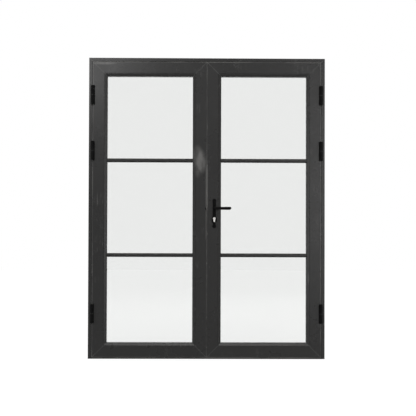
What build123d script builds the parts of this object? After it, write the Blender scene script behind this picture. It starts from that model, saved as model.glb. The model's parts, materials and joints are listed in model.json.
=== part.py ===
from build123d import *
import os

# An aluminium double door in its frame: two flush leaves with sealed glass units and glazing bars.
# All sizes are millimetres. +X is the viewer's right, +Y is away from the viewer, +Z is up.
# The origin is on the floor, at mid width and mid depth, under the threshold.

os.makedirs("parts", exist_ok=True)

# How far a cut runs past the face that it opens
cut_over = 1.0

# Frame
frame_width = 1650.0
frame_height = 2100.0
frame_depth = 65.0
frame_face = 24.0
frame_wall = 2.0
stop_reach = 22.0
stop_wall = 2.0
edge_radius = 1.2
fixing_radius = 5.25
fixing_margin = 180.0
fixing_count = 4
head_fixing_margin = 375.0

# Threshold
sill_height = 7.0
sill_upstand = 25.0
sill_channel_depth = 4.0
sill_channel_width = 20.0
sill_land = 10.0
butt_clearance = 0.2

# Gaps round the leaves
leaf_gap = 6.0
sill_gap = 6.0
meeting_gap = 5.0
seal_clearance = 0.3

# Front lip of the leaves, which nearly closes the gap round them
lip_gap = 1.5
lip_thickness = 2.0

# Leaf extrusion: the outer tube, and the leg behind the glass
leaf_depth = 58.0
leaf_face = 76.0
leaf_wall = 2.0
edge_wall = 4.0
rebate = 21.0
nose_depth = 7.0
nose_wall = 2.0

# Glazing
pane = 6.0
cavity = 16.0
glazing_gasket = 3.0
glass_edge_gap = 5.0
gasket_width = 9.0
gasket_lip = 2.5
spacer_inset = 2.0
spacer_width = 12.0
block_length = 100.0
block_inset = 150.0

# Glazing bead on the viewer's side
bead_set_back = 0.8
bead_groove = 1.2
bead_flat = 4.0
bead_slope_depth = 10.0
bead_wall = 1.5
bead_mitre_gap = 0.1

# Glazing bars on both faces of the glass
bar_width = 26.0
bar_ridge = 9.0
bar_edge = 3.0
bar_height = 12.0
rear_bar_height = 8.0
bar_pitch = 663.0
bar_middle_rise = 11.0

# Corner cleats inside the hollow sections
cleat_leg = 80.0
cleat_width = 20.0
cleat_thickness = 16.0
cleat_rear_clearance = 2.0
frame_cleat_clearance = 0.2

# Seals
stop_gasket_width = 8.0
stop_gasket_inset = 10.0
stop_gasket_sill_inset = 8.0
meeting_seal_thickness = 6.0
meeting_seal_inset = 6.0

# Hinges
barrel_radius = 13.0
barrel_clearance = 1.0
barrel_fillet = 2.0
hinge_height = 133.0
bottom_hinge_height = 315.0
middle_hinge_drop = 650.0
top_hinge_drop = 260.0
bush_thickness = 1.5
pin_radius = 5.0
running_clearance = 0.05
barrel_cap = 8.0
pin_end_clearance = 0.5
wing_clearance = 2.0
wing_reach = 30.0

# Lock and edge plates in the meeting stiles
backset = 50.0
spindle_height = 1050.0
plate_thickness = 2.0
plate_width = 24.0
plate_clearance = 0.15
faceplate_height = 242.0
case_height = 212.0
case_centre_drop = 44.0
case_thickness = 16.0
case_reach = 71.0
case_wall = 1.5
part_clearance = 0.1
follower_radius = 10.0
square = 8.0
arm_reach = 17.0
arm_width = 6.0
arm_thickness = 6.0

# Latch bolt
bolt_thickness = 12.0
latch_height = 20.0
latch_throw = 11.0
latch_length = 22.0
latch_bevel = 8.0
tail_thickness = 4.0
tail_height = 5.5
tail_clearance = 2.0
hook_thickness = 2.5
hook_clearance = 0.8

# Dead bolt
dead_bolt_height = 24.0
dead_bolt_length = 41.5
dead_bolt_drop = 40.0
strike_clearance = 1.5
strike_height = 200.0

# Lock cylinder
cylinder_drop = 72.0
cylinder_radius = 8.5
cylinder_slot = 10.0
cylinder_height = 33.0
cylinder_proud = 1.5
cam_gap = 10.0
cam_web = 7.5
plug_radius = 6.45
cam_ring_radius = 8.4
cam_reach = 14.0
cam_width = 6.0
cam_clearance = 0.5
key_slot_width = 2.4
key_slot_height = 8.0
key_slot_depth = 20.0

# Lever handles
plate_top_rise = 52.5
plate_foot_drop = 125.5
lobe_radius = 13.5
foot_radius = 13.0
bulge_half_width = 17.5
bulge_half_height = 30.0
waist = 22.0
foot_waist = 18.0
handle_plate_thickness = 10.0
plate_fillet = 1.5
blend_radius = 6.0
neck_radius = 8.0
neck_clearance = 0.08
neck_bore_clearance = 1.0
neck_engagement = 8.0
neck_length = 46.0
collar_radius = 10.0
collar_thickness = 2.0
lever_length = 118.0
lever_root_radius = 8.5
lever_tip_radius = 9.5
lever_thickness = 13.0
lever_fillet = 4.0
socket_depth = 24.0
spindle_end_clearance = 1.0
screw_rise = 50.0
screw_pitch = 170.0
screw_radius = 2.5
screw_head_radius = 4.6
screw_hole_clearance = 0.1
screw_engagement = 8.0
case_screw_clearance = 0.75

# Flush bolts in the passive leaf
rod_radius = 5.0
rod_length = 380.0
rod_inset = 15.0
rod_throw = (20.0, 12.0)
rod_hole_clearance = 0.5
guide_centre_inset = 330.0
guide_plate_width = 20.0
guide_plate_height = 120.0
guide_block_height = 30.0
guide_block_width = 16.0
guide_block_offset = 35.0
guide_slot_offset = 24.0
lug_width = 6.0
lug_height = 14.0
lug_set_back = 0.3
lug_clearance = 0.5
keep_thickness = 2.0
keep_length = 40.0
keep_width = 24.0

# Places worked out from the sizes above
half_width = frame_width / 2
front = -frame_depth / 2
rear = frame_depth / 2
leaf_rear = front + leaf_depth
middle = front + leaf_depth / 2
jamb_inside = half_width - frame_face
leaf_outer = jamb_inside - leaf_gap
leaf_inner = meeting_gap / 2
leaf_bottom = sill_height + sill_gap
leaf_top = frame_height - frame_face - leaf_gap
lip_reach = leaf_gap - lip_gap
meeting_lip = (meeting_gap - lip_gap) / 2
pivot_x = jamb_inside - leaf_gap / 2
pivot_y = front - barrel_radius - barrel_clearance
sight = leaf_face + rebate
nose_front = leaf_rear - nose_depth
glass_rear = nose_front - glazing_gasket
glass_depth = 2 * pane + cavity
glass_front = glass_rear - glass_depth
bead_rear = glass_front - glazing_gasket
bead_side = sight - gasket_lip
glass_edge = leaf_face + glass_edge_gap
spindle_x = leaf_inner + backset
cylinder_level = spindle_height - cylinder_drop
case_centre_height = spindle_height - case_centre_drop
dead_bolt_level = spindle_height - dead_bolt_drop
bar_middle_height = (leaf_bottom + leaf_top) / 2 + bar_middle_rise
hinge_levels = (bottom_hinge_height, frame_height - middle_hinge_drop, frame_height - top_hinge_drop)


def save(piece, name):
    """Label one finished piece and write it to its own file."""
    piece.label = name
    export_step(piece, f"parts/{name}.step")


def box_sketch(low, high, mode=Mode.ADD):
    """A rectangle between two corners, inside the sketch that is being drawn."""
    with Locations(((low[0] + high[0]) / 2, (low[1] + high[1]) / 2)):
        Rectangle(high[0] - low[0], high[1] - low[1], mode=mode)


def block(low, high, mode=Mode.ADD):
    """A box between two corners, inside the part that is being built."""
    size = [b - a for a, b in zip(low, high)]
    centre = [(a + b) / 2 for a, b in zip(low, high)]
    with Locations(tuple(centre)):
        Box(*size, mode=mode)


def across(sign, near, far):
    """The two X places at these distances from mid width, lowest first."""
    return tuple(sorted((sign * near, sign * far)))


def run_of(section, corner, inward, along, length, mitres=(True, True), gap=0.0):
    """One straight length of a profile, with 45 degree ends where it meets a corner.

    The section's x runs into the opening and its y runs from the face to the rear.
    Each mitred end is cut back along the run by the gap.
    """
    with BuildPart() as run:
        with BuildSketch(Plane(origin=corner, x_dir=inward, z_dir=along)):
            add(section)
        extrude(amount=length)
        if mitres[0]:
            near = corner + along * gap
            split(bisect_by=Plane(origin=near, z_dir=along - inward), keep=Keep.TOP)
        if mitres[1]:
            far = corner + along * (length - gap)
            split(bisect_by=Plane(origin=far, z_dir=-along - inward), keep=Keep.TOP)
    return run.part


def ring_of(section, x_low, x_high, z_low, z_high, gap=0.0):
    """Four mitred lengths of a profile round a rectangle: left, top, right and bottom."""
    right = Vector(1, 0, 0)
    up = Vector(0, 0, 1)
    wide = x_high - x_low
    tall = z_high - z_low
    both = (True, True)
    return {
        "left": run_of(section, Vector(x_low, front, z_low), right, up, tall, both, gap),
        "top": run_of(section, Vector(x_low, front, z_high), -up, right, wide, both, gap),
        "right": run_of(section, Vector(x_high, front, z_high), -right, -up, tall, both, gap),
        "bottom": run_of(section, Vector(x_high, front, z_low), up, -right, wide, both, gap),
    }


# The frame's section: a flat tube with a thin stop behind the leaf
with BuildSketch() as frame_sketch:
    box_sketch((0, 0), (frame_face, frame_depth))
    box_sketch((frame_face, frame_depth - stop_wall), (frame_face + stop_reach, frame_depth))
    fillet(frame_sketch.vertices().group_by(Axis.Y)[0], edge_radius)
    box_sketch(
        (frame_wall, frame_wall),
        (frame_face - frame_wall, frame_depth - frame_wall),
        mode=Mode.SUBTRACT,
    )
frame_section = frame_sketch.sketch

# The leaf's section: a deep tube with a lip in front of the gap and a hollow leg behind the glass
with BuildSketch() as leaf_sketch:
    box_sketch((0, 0), (leaf_face, leaf_depth))
    box_sketch((-lip_reach, 0), (edge_wall, lip_thickness))
    box_sketch((leaf_face, leaf_depth - nose_depth), (sight, leaf_depth))
    fillet(leaf_sketch.vertices().group_by(Axis.Y)[0], edge_radius)
    box_sketch(
        (edge_wall, leaf_wall),
        (leaf_face - leaf_wall, leaf_depth - leaf_wall),
        mode=Mode.SUBTRACT,
    )
    box_sketch(
        (leaf_face + nose_wall, leaf_depth - nose_depth + nose_wall),
        (sight - nose_wall, leaf_depth - nose_wall),
        mode=Mode.SUBTRACT,
    )
leaf_section = leaf_sketch.sketch.moved(Location((lip_reach, 0, 0)))

# The bead's section: a small hollow moulding whose inner side slopes back to the glass
bead_corner = (bead_side, bead_set_back + bead_slope_depth)
with BuildSketch() as bead_sketch:
    with BuildLine():
        Polyline(
            (leaf_face, bead_set_back + bead_groove),
            (leaf_face + bead_groove, bead_set_back),
            (leaf_face + bead_flat, bead_set_back),
            bead_corner,
            (bead_side, bead_rear - front),
            (leaf_face, bead_rear - front),
            close=True,
        )
    make_face()
    offset(amount=-bead_wall, mode=Mode.SUBTRACT)
bead_section = bead_sketch.sketch


def frame_hole(face_sign, level):
    """A fixing hole straight through both walls of a jamb."""
    x_low, x_high = across(face_sign, jamb_inside - cut_over, half_width + cut_over)
    with BuildSketch(Plane(origin=(x_low, 0, level), x_dir=(0, 1, 0), z_dir=(1, 0, 0))) as hole:
        Circle(fixing_radius)
    extrude(to_extrude=hole.sketch, amount=x_high - x_low, mode=Mode.SUBTRACT)


# Jambs, which stand on the floor and meet the head in a mitre
fixing_pitch = (frame_height - 2 * fixing_margin) / (fixing_count - 1)
fixing_levels = [fixing_margin + fixing_pitch * n for n in range(fixing_count)]
for side, sign in (("left", -1), ("right", 1)):
    up = Vector(0, 0, 1)
    inward = Vector(-sign, 0, 0)
    foot = Vector(sign * half_width, front, 0)
    head_end = Vector(sign * half_width, front, frame_height)
    with BuildPart() as jamb:
        if sign < 0:
            add(run_of(frame_section, foot, inward, up, frame_height, (False, True)))
        else:
            add(run_of(frame_section, head_end, inward, -up, frame_height, (True, False)))
        for level in fixing_levels:
            frame_hole(sign, level)
    save(jamb.part, f"frame_jamb_{side}")

# Head, with its fixing holes and the hole for the upper flush bolt
rod_x = -(leaf_inner + rod_inset)
keep_radius = rod_radius + rod_hole_clearance
with BuildPart() as head:
    add(
        run_of(
            frame_section,
            Vector(-half_width, front, frame_height),
            Vector(0, 0, -1),
            Vector(1, 0, 0),
            frame_width,
        )
    )
    head_fixing_x = half_width - head_fixing_margin
    with Locations((-head_fixing_x, 0, frame_height), (head_fixing_x, 0, frame_height)):
        Hole(fixing_radius, depth=frame_face + cut_over)
    with Locations((rod_x, middle, frame_height - frame_face)):
        Cylinder(keep_radius, 2 * (frame_wall + cut_over), mode=Mode.SUBTRACT)
save(head.part, "frame_head")

# Threshold between the jambs: a low flat bar with a rear upstand and two channels underneath
sill_half = jamb_inside
notch_inside = jamb_inside - stop_reach - butt_clearance
with BuildPart() as threshold:
    block((-sill_half, front, 0), (sill_half, rear, sill_height))
    block((-sill_half, rear - stop_wall, 0), (sill_half, rear, sill_upstand))
    for sign in (-1, 1):
        x_low, x_high = across(sign, notch_inside, sill_half + cut_over)
        notch_front = rear - stop_wall - butt_clearance
        notch_top = sill_upstand + cut_over
        block((x_low, notch_front, -cut_over), (x_high, rear + cut_over, notch_top), Mode.SUBTRACT)
        y_low, y_high = across(sign, sill_land / 2, sill_land / 2 + sill_channel_width)
        channel_end = sill_half + cut_over
        block(
            (-channel_end, y_low, -cut_over),
            (channel_end, y_high, sill_channel_depth),
            Mode.SUBTRACT,
        )
    with Locations((rod_x, middle, sill_height / 2)):
        Cylinder(keep_radius, sill_height + 2 * cut_over, mode=Mode.SUBTRACT)
    pocket_x = keep_length / 2 + part_clearance
    pocket_y = keep_width / 2 + part_clearance
    block(
        (rod_x - pocket_x, middle - pocket_y, sill_height - keep_thickness),
        (rod_x + pocket_x, middle + pocket_y, sill_height + cut_over),
        Mode.SUBTRACT,
    )
save(threshold.part, "threshold")

# Keep plates for the flush bolts: one under the head, one let into the threshold
keep_bases = (frame_height - frame_face - keep_thickness, sill_height - keep_thickness)
with BuildPart() as keeps:
    for base in keep_bases:
        with BuildSketch(Plane.XY.offset(base)) as keep_plate:
            with Locations((rod_x, middle)):
                RectangleRounded(keep_length, keep_width, edge_radius)
                Circle(keep_radius, mode=Mode.SUBTRACT)
        extrude(to_extrude=keep_plate.sketch, amount=keep_thickness)
save(keeps.part, "flush_bolt_keeps")


def cleat(corner_x, corner_z, x_sign, z_sign, y_low, thickness, width):
    """An L-shaped block pushed into the two hollows that meet at a corner."""
    x_far = corner_x + x_sign * cleat_leg
    z_far = corner_z + z_sign * cleat_leg
    x_near = corner_x + x_sign * width
    z_near = corner_z + z_sign * width
    y_high = y_low + thickness
    block(
        (min(corner_x, x_far), y_low, min(corner_z, z_near)),
        (max(corner_x, x_far), y_high, max(corner_z, z_near)),
    )
    block(
        (min(corner_x, x_near), y_low, min(corner_z, z_far)),
        (max(corner_x, x_near), y_high, max(corner_z, z_far)),
    )


frame_cleat_width = frame_face - 2 * frame_wall - frame_cleat_clearance
with BuildPart() as frame_cleats:
    for sign in (-1, 1):
        cleat(
            sign * (half_width - frame_wall),
            frame_height - frame_wall,
            -sign,
            -1,
            -cleat_thickness / 2,
            cleat_thickness,
            frame_cleat_width,
        )
save(frame_cleats.part, "frame_corner_cleats")

# Gasket on the stop, all round behind the leaves
gasket_outer_x = jamb_inside - stop_gasket_inset
gasket_low = sill_height + stop_gasket_sill_inset
gasket_high = frame_height - frame_face - stop_gasket_inset
stop_gasket_front = leaf_rear + seal_clearance
with BuildPart() as stop_gasket:
    with BuildSketch(Plane.XZ.offset(-(rear - stop_wall))):
        box_sketch((-gasket_outer_x, gasket_low), (gasket_outer_x, gasket_high))
        box_sketch(
            (-gasket_outer_x + stop_gasket_width, gasket_low + stop_gasket_width),
            (gasket_outer_x - stop_gasket_width, gasket_high - stop_gasket_width),
            mode=Mode.SUBTRACT,
        )
    extrude(amount=rear - stop_wall - stop_gasket_front)
save(stop_gasket.part, "frame_gasket")

# Hinges: the frame knuckle is the lower half, and the leaf knuckle stands on it
knuckle_height = (hinge_height - bush_thickness) / 2
wing_thickness = leaf_gap - wing_clearance
wing_rear = front + wing_reach


def knuckle(sign, wing_edge, z_low, hole_radius, hole_from_top):
    """Half of a hinge: a barrel with a flat wing let into the gap beside the leaf."""
    wing_low, wing_high = across(sign, wing_edge[0], wing_edge[1])
    with BuildPart() as half:
        with BuildSketch(Plane.XY.offset(z_low)):
            with Locations((sign * pivot_x, pivot_y)):
                Circle(barrel_radius)
        extrude(amount=knuckle_height)
        round_end = half.faces().sort_by(Axis.Z)[0 if hole_from_top else -1]
        fillet(round_end.edges(), barrel_fillet)
        wing_top = z_low + knuckle_height - barrel_fillet
        block((wing_low, pivot_y, z_low + barrel_fillet), (wing_high, wing_rear, wing_top))
        bore_low = z_low + (barrel_cap if hole_from_top else 0)
        with BuildSketch(Plane.XY.offset(bore_low)) as bore:
            with Locations((sign * pivot_x, pivot_y)):
                Circle(hole_radius)
        extrude(to_extrude=bore.sketch, amount=knuckle_height - barrel_cap, mode=Mode.SUBTRACT)
    return half.part


level_names = ("bottom", "middle", "top")
for side, sign in (("left", -1), ("right", 1)):
    for level, level_name in zip(hinge_levels, level_names):
        low = level - hinge_height / 2
        frame_edge = (jamb_inside - wing_thickness, jamb_inside)
        leaf_edge = (leaf_outer, leaf_outer + wing_thickness)
        with BuildPart() as lower_half:
            add(knuckle(sign, frame_edge, low, pin_radius, True))
        save(lower_half.part, f"{side}_hinge_{level_name}_frame_knuckle")
        upper_low = low + knuckle_height + bush_thickness
        with BuildPart() as upper_half:
            add(knuckle(sign, leaf_edge, upper_low, pin_radius + running_clearance, False))
        save(upper_half.part, f"{side}_hinge_{level_name}_leaf_knuckle")

pin_length = 2 * (knuckle_height - barrel_cap) + bush_thickness - pin_end_clearance
hinge_places = [(sign * pivot_x, level) for sign in (-1, 1) for level in hinge_levels]
with BuildPart() as pins:
    for x, level in hinge_places:
        with BuildSketch(Plane.XY.offset(level - hinge_height / 2 + barrel_cap)) as pin:
            with Locations((x, pivot_y)):
                Circle(pin_radius)
        extrude(to_extrude=pin.sketch, amount=pin_length)
save(pins.part, "hinge_pins")

with BuildPart() as bushes:
    for x, level in hinge_places:
        with BuildSketch(Plane.XY.offset(level - bush_thickness / 2)) as bush:
            with Locations((x, pivot_y)):
                Circle(barrel_radius)
                Circle(pin_radius, mode=Mode.SUBTRACT)
        extrude(to_extrude=bush.sketch, amount=bush_thickness)
save(bushes.part, "hinge_bushes")


# Lock places in the active leaf's meeting stile
case_low = case_centre_height - case_height / 2
case_high = case_centre_height + case_height / 2
faceplate_low = case_centre_height - faceplate_height / 2
faceplate_high = case_centre_height + faceplate_height / 2
case_front = middle - case_thickness / 2
case_rear = middle + case_thickness / 2
case_near = leaf_inner + plate_thickness
case_far = leaf_inner + case_reach
handle_front = front - handle_plate_thickness
handle_rear = leaf_rear + handle_plate_thickness
screw_levels = (spindle_height + screw_rise, spindle_height + screw_rise - screw_pitch)
socket_side = square + 2 * running_clearance


def depth_plane(x, y, z):
    """A plane facing away from the viewer: its x is +X and its y is down."""
    return Plane(origin=(x, y, z), x_dir=(1, 0, 0), z_dir=(0, 1, 0))


def euro_profile(clearance=0.0):
    """The lock cylinder's outline: a round key barrel over a narrower rounded web."""
    radius = cylinder_radius + clearance
    slot = cylinder_slot / 2 + clearance
    foot = cylinder_height - cylinder_radius - cylinder_slot / 2
    with BuildSketch() as outline:
        Circle(radius)
        box_sketch((-slot, 0), (slot, foot))
        with Locations((0, foot)):
            Circle(slot)
    return outline.sketch


def bore_y(radius, x, z, y_low, y_high):
    """Cut a round hole along Y in the part that is being built."""
    with BuildSketch(depth_plane(x, y_low, z)) as round_hole:
        Circle(radius)
    extrude(to_extrude=round_hole.sketch, amount=y_high - y_low, mode=Mode.SUBTRACT)


def cut_euro(y_low, y_high, clearance):
    """Cut the cylinder's outline along Y in the part that is being built."""
    with BuildSketch(depth_plane(spindle_x, y_low, cylinder_level)) as outline:
        add(euro_profile(clearance))
    extrude(to_extrude=outline.sketch, amount=y_high - y_low, mode=Mode.SUBTRACT)


def edge_recess(sign, z_low, z_high, width):
    """Let a plate into a meeting edge: a shallow pocket as deep as the plate."""
    x_low, x_high = across(sign, leaf_inner - cut_over, leaf_inner + plate_thickness)
    half = width / 2 + plate_clearance
    block(
        (x_low, middle - half, z_low - plate_clearance),
        (x_high, middle + half, z_high + plate_clearance),
        Mode.SUBTRACT,
    )


def edge_window(sign, z_low, z_high, width, clearance):
    """Open the meeting edge right through to the hollow behind it."""
    x_low, x_high = across(sign, leaf_inner - cut_over, leaf_inner + edge_wall + cut_over)
    half = width / 2 + clearance
    block(
        (x_low, middle - half, z_low - clearance),
        (x_high, middle + half, z_high + clearance),
        Mode.SUBTRACT,
    )


# Flush bolt places in the passive leaf's meeting stile, upper then lower
flush_bolts = (
    ("upper", 1, leaf_top, rod_throw[0]),
    ("lower", -1, leaf_bottom, rod_throw[1]),
)


def along_edge(edge, way, near, far):
    """Two levels at these distances in from the end of the leaf, lowest first."""
    return tuple(sorted((edge - way * near, edge - way * far)))


def guide_levels(way, edge):
    """The levels of a flush bolt's edge plate, guide block and lug."""
    centre = edge - way * guide_centre_inset
    plate = (centre - guide_plate_height / 2, centre + guide_plate_height / 2)
    block_middle = centre + way * guide_block_offset
    guide = (block_middle - guide_block_height / 2, block_middle + guide_block_height / 2)
    lug_middle = centre - way * guide_slot_offset
    lug = (lug_middle - lug_height / 2, lug_middle + lug_height / 2)
    return plate, guide, lug


def lug_sweep(lug, way, throw):
    """The levels that a lug covers as it travels."""
    return min(lug[0], lug[0] + way * throw), max(lug[1], lug[1] + way * throw)


def lip_cut(x_low, x_high, z_low, z_high):
    """Cut a length of front lip away between these places."""
    block(
        (x_low, front - cut_over, z_low),
        (x_high, front + lip_thickness + cut_over, z_high),
        Mode.SUBTRACT,
    )


def trim_meeting_lip(sign):
    """Cut the lips back at mid width, where the lips of both leaves share one gap."""
    x_low, x_high = across(sign, leaf_inner - lip_reach - cut_over, leaf_inner - meeting_lip)
    lip_cut(x_low, x_high, leaf_bottom - leaf_gap, leaf_top + leaf_gap)


# Leaves: four mitred members each, machined for the lock, the strike and the flush bolts
strike_low = spindle_height - strike_height / 2 - cylinder_drop / 4
strike_high = strike_low + strike_height
latch_y = (middle - bolt_thickness / 2, middle + bolt_thickness / 2)
for side, sign in (("left", -1), ("right", 1)):
    x_low, x_high = across(sign, leaf_inner, leaf_outer)
    members = ring_of(
        leaf_section,
        x_low - lip_reach,
        x_high + lip_reach,
        leaf_bottom - lip_reach,
        leaf_top + lip_reach,
    )
    meeting = members["right"] if sign < 0 else members["left"]
    hinged = members["left"] if sign < 0 else members["right"]
    with BuildPart() as hinge_stile:
        add(hinged)
        notch_low, notch_high = across(sign, leaf_outer, leaf_outer + leaf_gap)
        for level in hinge_levels:
            reach = hinge_height / 2 + lip_gap
            lip_cut(notch_low, notch_high, level - reach, level + reach)
    save(hinge_stile.part, f"{side}_leaf_hinge_stile")

    with BuildPart() as meeting_stile:
        add(meeting)
        trim_meeting_lip(sign)
        if sign > 0:
            edge_recess(1, faceplate_low, faceplate_high, plate_width)
            edge_window(1, case_low, case_high, case_thickness, part_clearance)
            for y_low in (front - cut_over, leaf_rear - leaf_wall - cut_over):
                y_high = y_low + leaf_wall + 2 * cut_over
                bore_y(neck_radius + neck_bore_clearance, spindle_x, spindle_height, y_low, y_high)
                cut_euro(y_low, y_high, case_screw_clearance)
                for level in screw_levels:
                    bore_y(screw_radius + case_screw_clearance, spindle_x, level, y_low, y_high)
        else:
            edge_recess(-1, strike_low, strike_high, plate_width)
            for level, height in ((spindle_height, latch_height), (dead_bolt_level, dead_bolt_height)):
                edge_window(-1, level - height / 2, level + height / 2, bolt_thickness, strike_clearance)
            for name, way, edge, throw in flush_bolts:
                plate, guide, lug = guide_levels(way, edge)
                edge_recess(-1, plate[0], plate[1], guide_plate_width)
                edge_window(-1, guide[0], guide[1], guide_block_width, part_clearance)
                sweep_low, sweep_high = lug_sweep(lug, way, throw)
                edge_window(-1, sweep_low, sweep_high, lug_width, lug_clearance)
    save(meeting_stile.part, f"{side}_leaf_meeting_stile")

    for place in ("top", "bottom"):
        with BuildPart() as rail:
            add(members[place])
            trim_meeting_lip(sign)
            if sign < 0:
                level = leaf_top if place == "top" else leaf_bottom
                with Locations((rod_x, middle, level)):
                    Cylinder(keep_radius, 2 * (edge_wall + cut_over), mode=Mode.SUBTRACT)
        save(rail.part, f"{side}_leaf_{place}_rail")

    # Cleats in the four corners, behind the edge plates and bolts
    cleat_y = leaf_rear - leaf_wall - cleat_rear_clearance - cleat_thickness
    with BuildPart() as cleats:
        for corner_x, x_way in ((x_low + edge_wall, 1), (x_high - edge_wall, -1)):
            for corner_z, z_way in ((leaf_bottom + edge_wall, 1), (leaf_top - edge_wall, -1)):
                cleat(corner_x, corner_z, x_way, z_way, cleat_y, cleat_thickness, cleat_width)
    save(cleats.part, f"{side}_leaf_corner_cleats")

    # Sealed glass unit: two panes and the spacer between them
    glass_x = (x_low + glass_edge, x_high - glass_edge)
    glass_z = (leaf_bottom + glass_edge, leaf_top - glass_edge)
    with BuildPart() as glass:
        for y_low in (glass_front, glass_rear - pane):
            block((glass_x[0], y_low, glass_z[0]), (glass_x[1], y_low + pane, glass_z[1]))
    save(glass.part, f"{side}_glass")

    with BuildPart() as spacer:
        with BuildSketch(Plane.XZ.offset(-(glass_front + pane + cavity))):
            for inset, mode in ((spacer_inset, Mode.ADD), (spacer_inset + spacer_width, Mode.SUBTRACT)):
                box_sketch(
                    (glass_x[0] + inset, glass_z[0] + inset),
                    (glass_x[1] - inset, glass_z[1] - inset),
                    mode=mode,
                )
        extrude(amount=cavity)
    save(spacer.part, f"{side}_glass_spacer")

    # Beads on the viewer's side, mitred round the glass
    bead_runs = ring_of(bead_section, x_low, x_high, leaf_bottom, leaf_top, bead_mitre_gap)
    with BuildPart() as beads:
        for run in bead_runs.values():
            add(run)
    save(beads.part, f"{side}_glazing_beads")

    # Gaskets in front of and behind the glass, whose lips are the edge of the clear opening
    with BuildPart() as gaskets:
        for y_rear in (glass_front, nose_front):
            with BuildSketch(Plane.XZ.offset(-y_rear)) as gasket_ring:
                for inset, mode in ((sight - gasket_width, Mode.ADD), (sight, Mode.SUBTRACT)):
                    box_sketch(
                        (x_low + inset, leaf_bottom + inset),
                        (x_high - inset, leaf_top - inset),
                        mode=mode,
                    )
            extrude(to_extrude=gasket_ring.sketch, amount=glazing_gasket)
    save(gaskets.part, f"{side}_glazing_gaskets")

    # Blocks between the glass edge and the leaf, which carry the glass and keep it square
    with BuildPart() as blocks:
        for x_start in (glass_x[0] + block_inset, glass_x[1] - block_inset - block_length):
            for z_start in (glass_z[0] - glass_edge_gap, glass_z[1]):
                block(
                    (x_start, glass_front, z_start),
                    (x_start + block_length, glass_rear, z_start + glass_edge_gap),
                )
        for z_start in (glass_z[0] + block_inset, glass_z[1] - block_inset - block_length):
            for x_start in (glass_x[0] - glass_edge_gap, glass_x[1]):
                block(
                    (x_start, glass_front, z_start),
                    (x_start + glass_edge_gap, glass_rear, z_start + block_length),
                )
    save(blocks.part, f"{side}_setting_blocks")

    # Glazing bars: a flat ridge with sloping sides, on the front and the rear of the glass
    with BuildPart() as bars:
        for y_face, way, height, end_inset in (
            (glass_front, -1, bar_height, bead_side),
            (glass_rear, 1, rear_bar_height, sight),
        ):
            start_x = x_low + end_inset
            length = x_high - x_low - 2 * end_inset
            for level in (bar_middle_height - bar_pitch / 2, bar_middle_height + bar_pitch / 2):
                section_plane = Plane(origin=(start_x, y_face, level), x_dir=(0, 0, -1), z_dir=(1, 0, 0))
                with BuildSketch(section_plane) as bar_sketch:
                    with BuildLine():
                        Polyline(
                            (-bar_width / 2, 0),
                            (-bar_width / 2, way * bar_edge),
                            (-bar_ridge / 2, way * height),
                            (bar_ridge / 2, way * height),
                            (bar_width / 2, way * bar_edge),
                            (bar_width / 2, 0),
                            close=True,
                        )
                    make_face()
                extrude(to_extrude=bar_sketch.sketch, amount=length)
        for x_start, x_end in (
            (x_low + bead_side - cut_over, x_low + sight),
            (x_high - sight, x_high - bead_side + cut_over),
        ):
            block(
                (x_start, bead_rear, leaf_bottom + sight),
                (x_end, glass_front, leaf_top - sight),
                Mode.SUBTRACT,
            )
    save(bars.part, f"{side}_glazing_bars")


# Brush seal on the passive leaf's meeting edge, which closes the gap behind the locks
with BuildPart() as meeting_seal:
    block(
        (-leaf_inner, leaf_rear - meeting_seal_inset - meeting_seal_thickness, leaf_bottom),
        (leaf_inner - seal_clearance, leaf_rear - meeting_seal_inset, leaf_top),
    )
save(meeting_seal.part, "meeting_seal")


def edge_plate(sign, z_low, z_high, width):
    """A flat plate with rounded ends that lies flush in a meeting edge."""
    x_low, x_high = across(sign, leaf_inner, leaf_inner + plate_thickness)
    block((x_low, middle - width / 2, z_low), (x_high, middle + width / 2, z_high))


# Strike plate in the passive leaf
with BuildPart() as strike:
    edge_plate(-1, strike_low, strike_high, plate_width)
    for level, height in ((spindle_height, latch_height), (dead_bolt_level, dead_bolt_height)):
        edge_window(-1, level - height / 2, level + height / 2, bolt_thickness, strike_clearance)
save(strike.part, "strike_plate")

# Flush bolts and the edge plates that guide them
for name, way, edge, throw in flush_bolts:
    plate, guide, lug = guide_levels(way, edge)
    rod_low, rod_high = along_edge(edge, way, 0, rod_length)
    with BuildPart() as flush_bolt:
        with BuildSketch(Plane.XY.offset(rod_low)):
            with Locations((rod_x, middle)):
                Circle(rod_radius)
        extrude(amount=rod_high - rod_low)
        block(
            (rod_x, middle - lug_width / 2, lug[0]),
            (-leaf_inner - lug_set_back, middle + lug_width / 2, lug[1]),
        )
    save(flush_bolt.part, f"flush_bolt_{name}")

with BuildPart() as guides:
    for name, way, edge, throw in flush_bolts:
        plate, guide, lug = guide_levels(way, edge)
        sweep_low, sweep_high = lug_sweep(lug, way, throw)
        edge_plate(-1, plate[0], plate[1], guide_plate_width)
        block(
            (rod_x - guide_block_width / 2, middle - guide_block_width / 2, guide[0]),
            (-leaf_inner - plate_thickness, middle + guide_block_width / 2, guide[1]),
        )
        with Locations((rod_x, middle, (guide[0] + guide[1]) / 2)):
            Cylinder(rod_radius + running_clearance, guide_block_height + 2 * cut_over, mode=Mode.SUBTRACT)
        edge_window(-1, sweep_low, sweep_high, lug_width, lug_clearance)
save(guides.part, "flush_bolt_guides")

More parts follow.
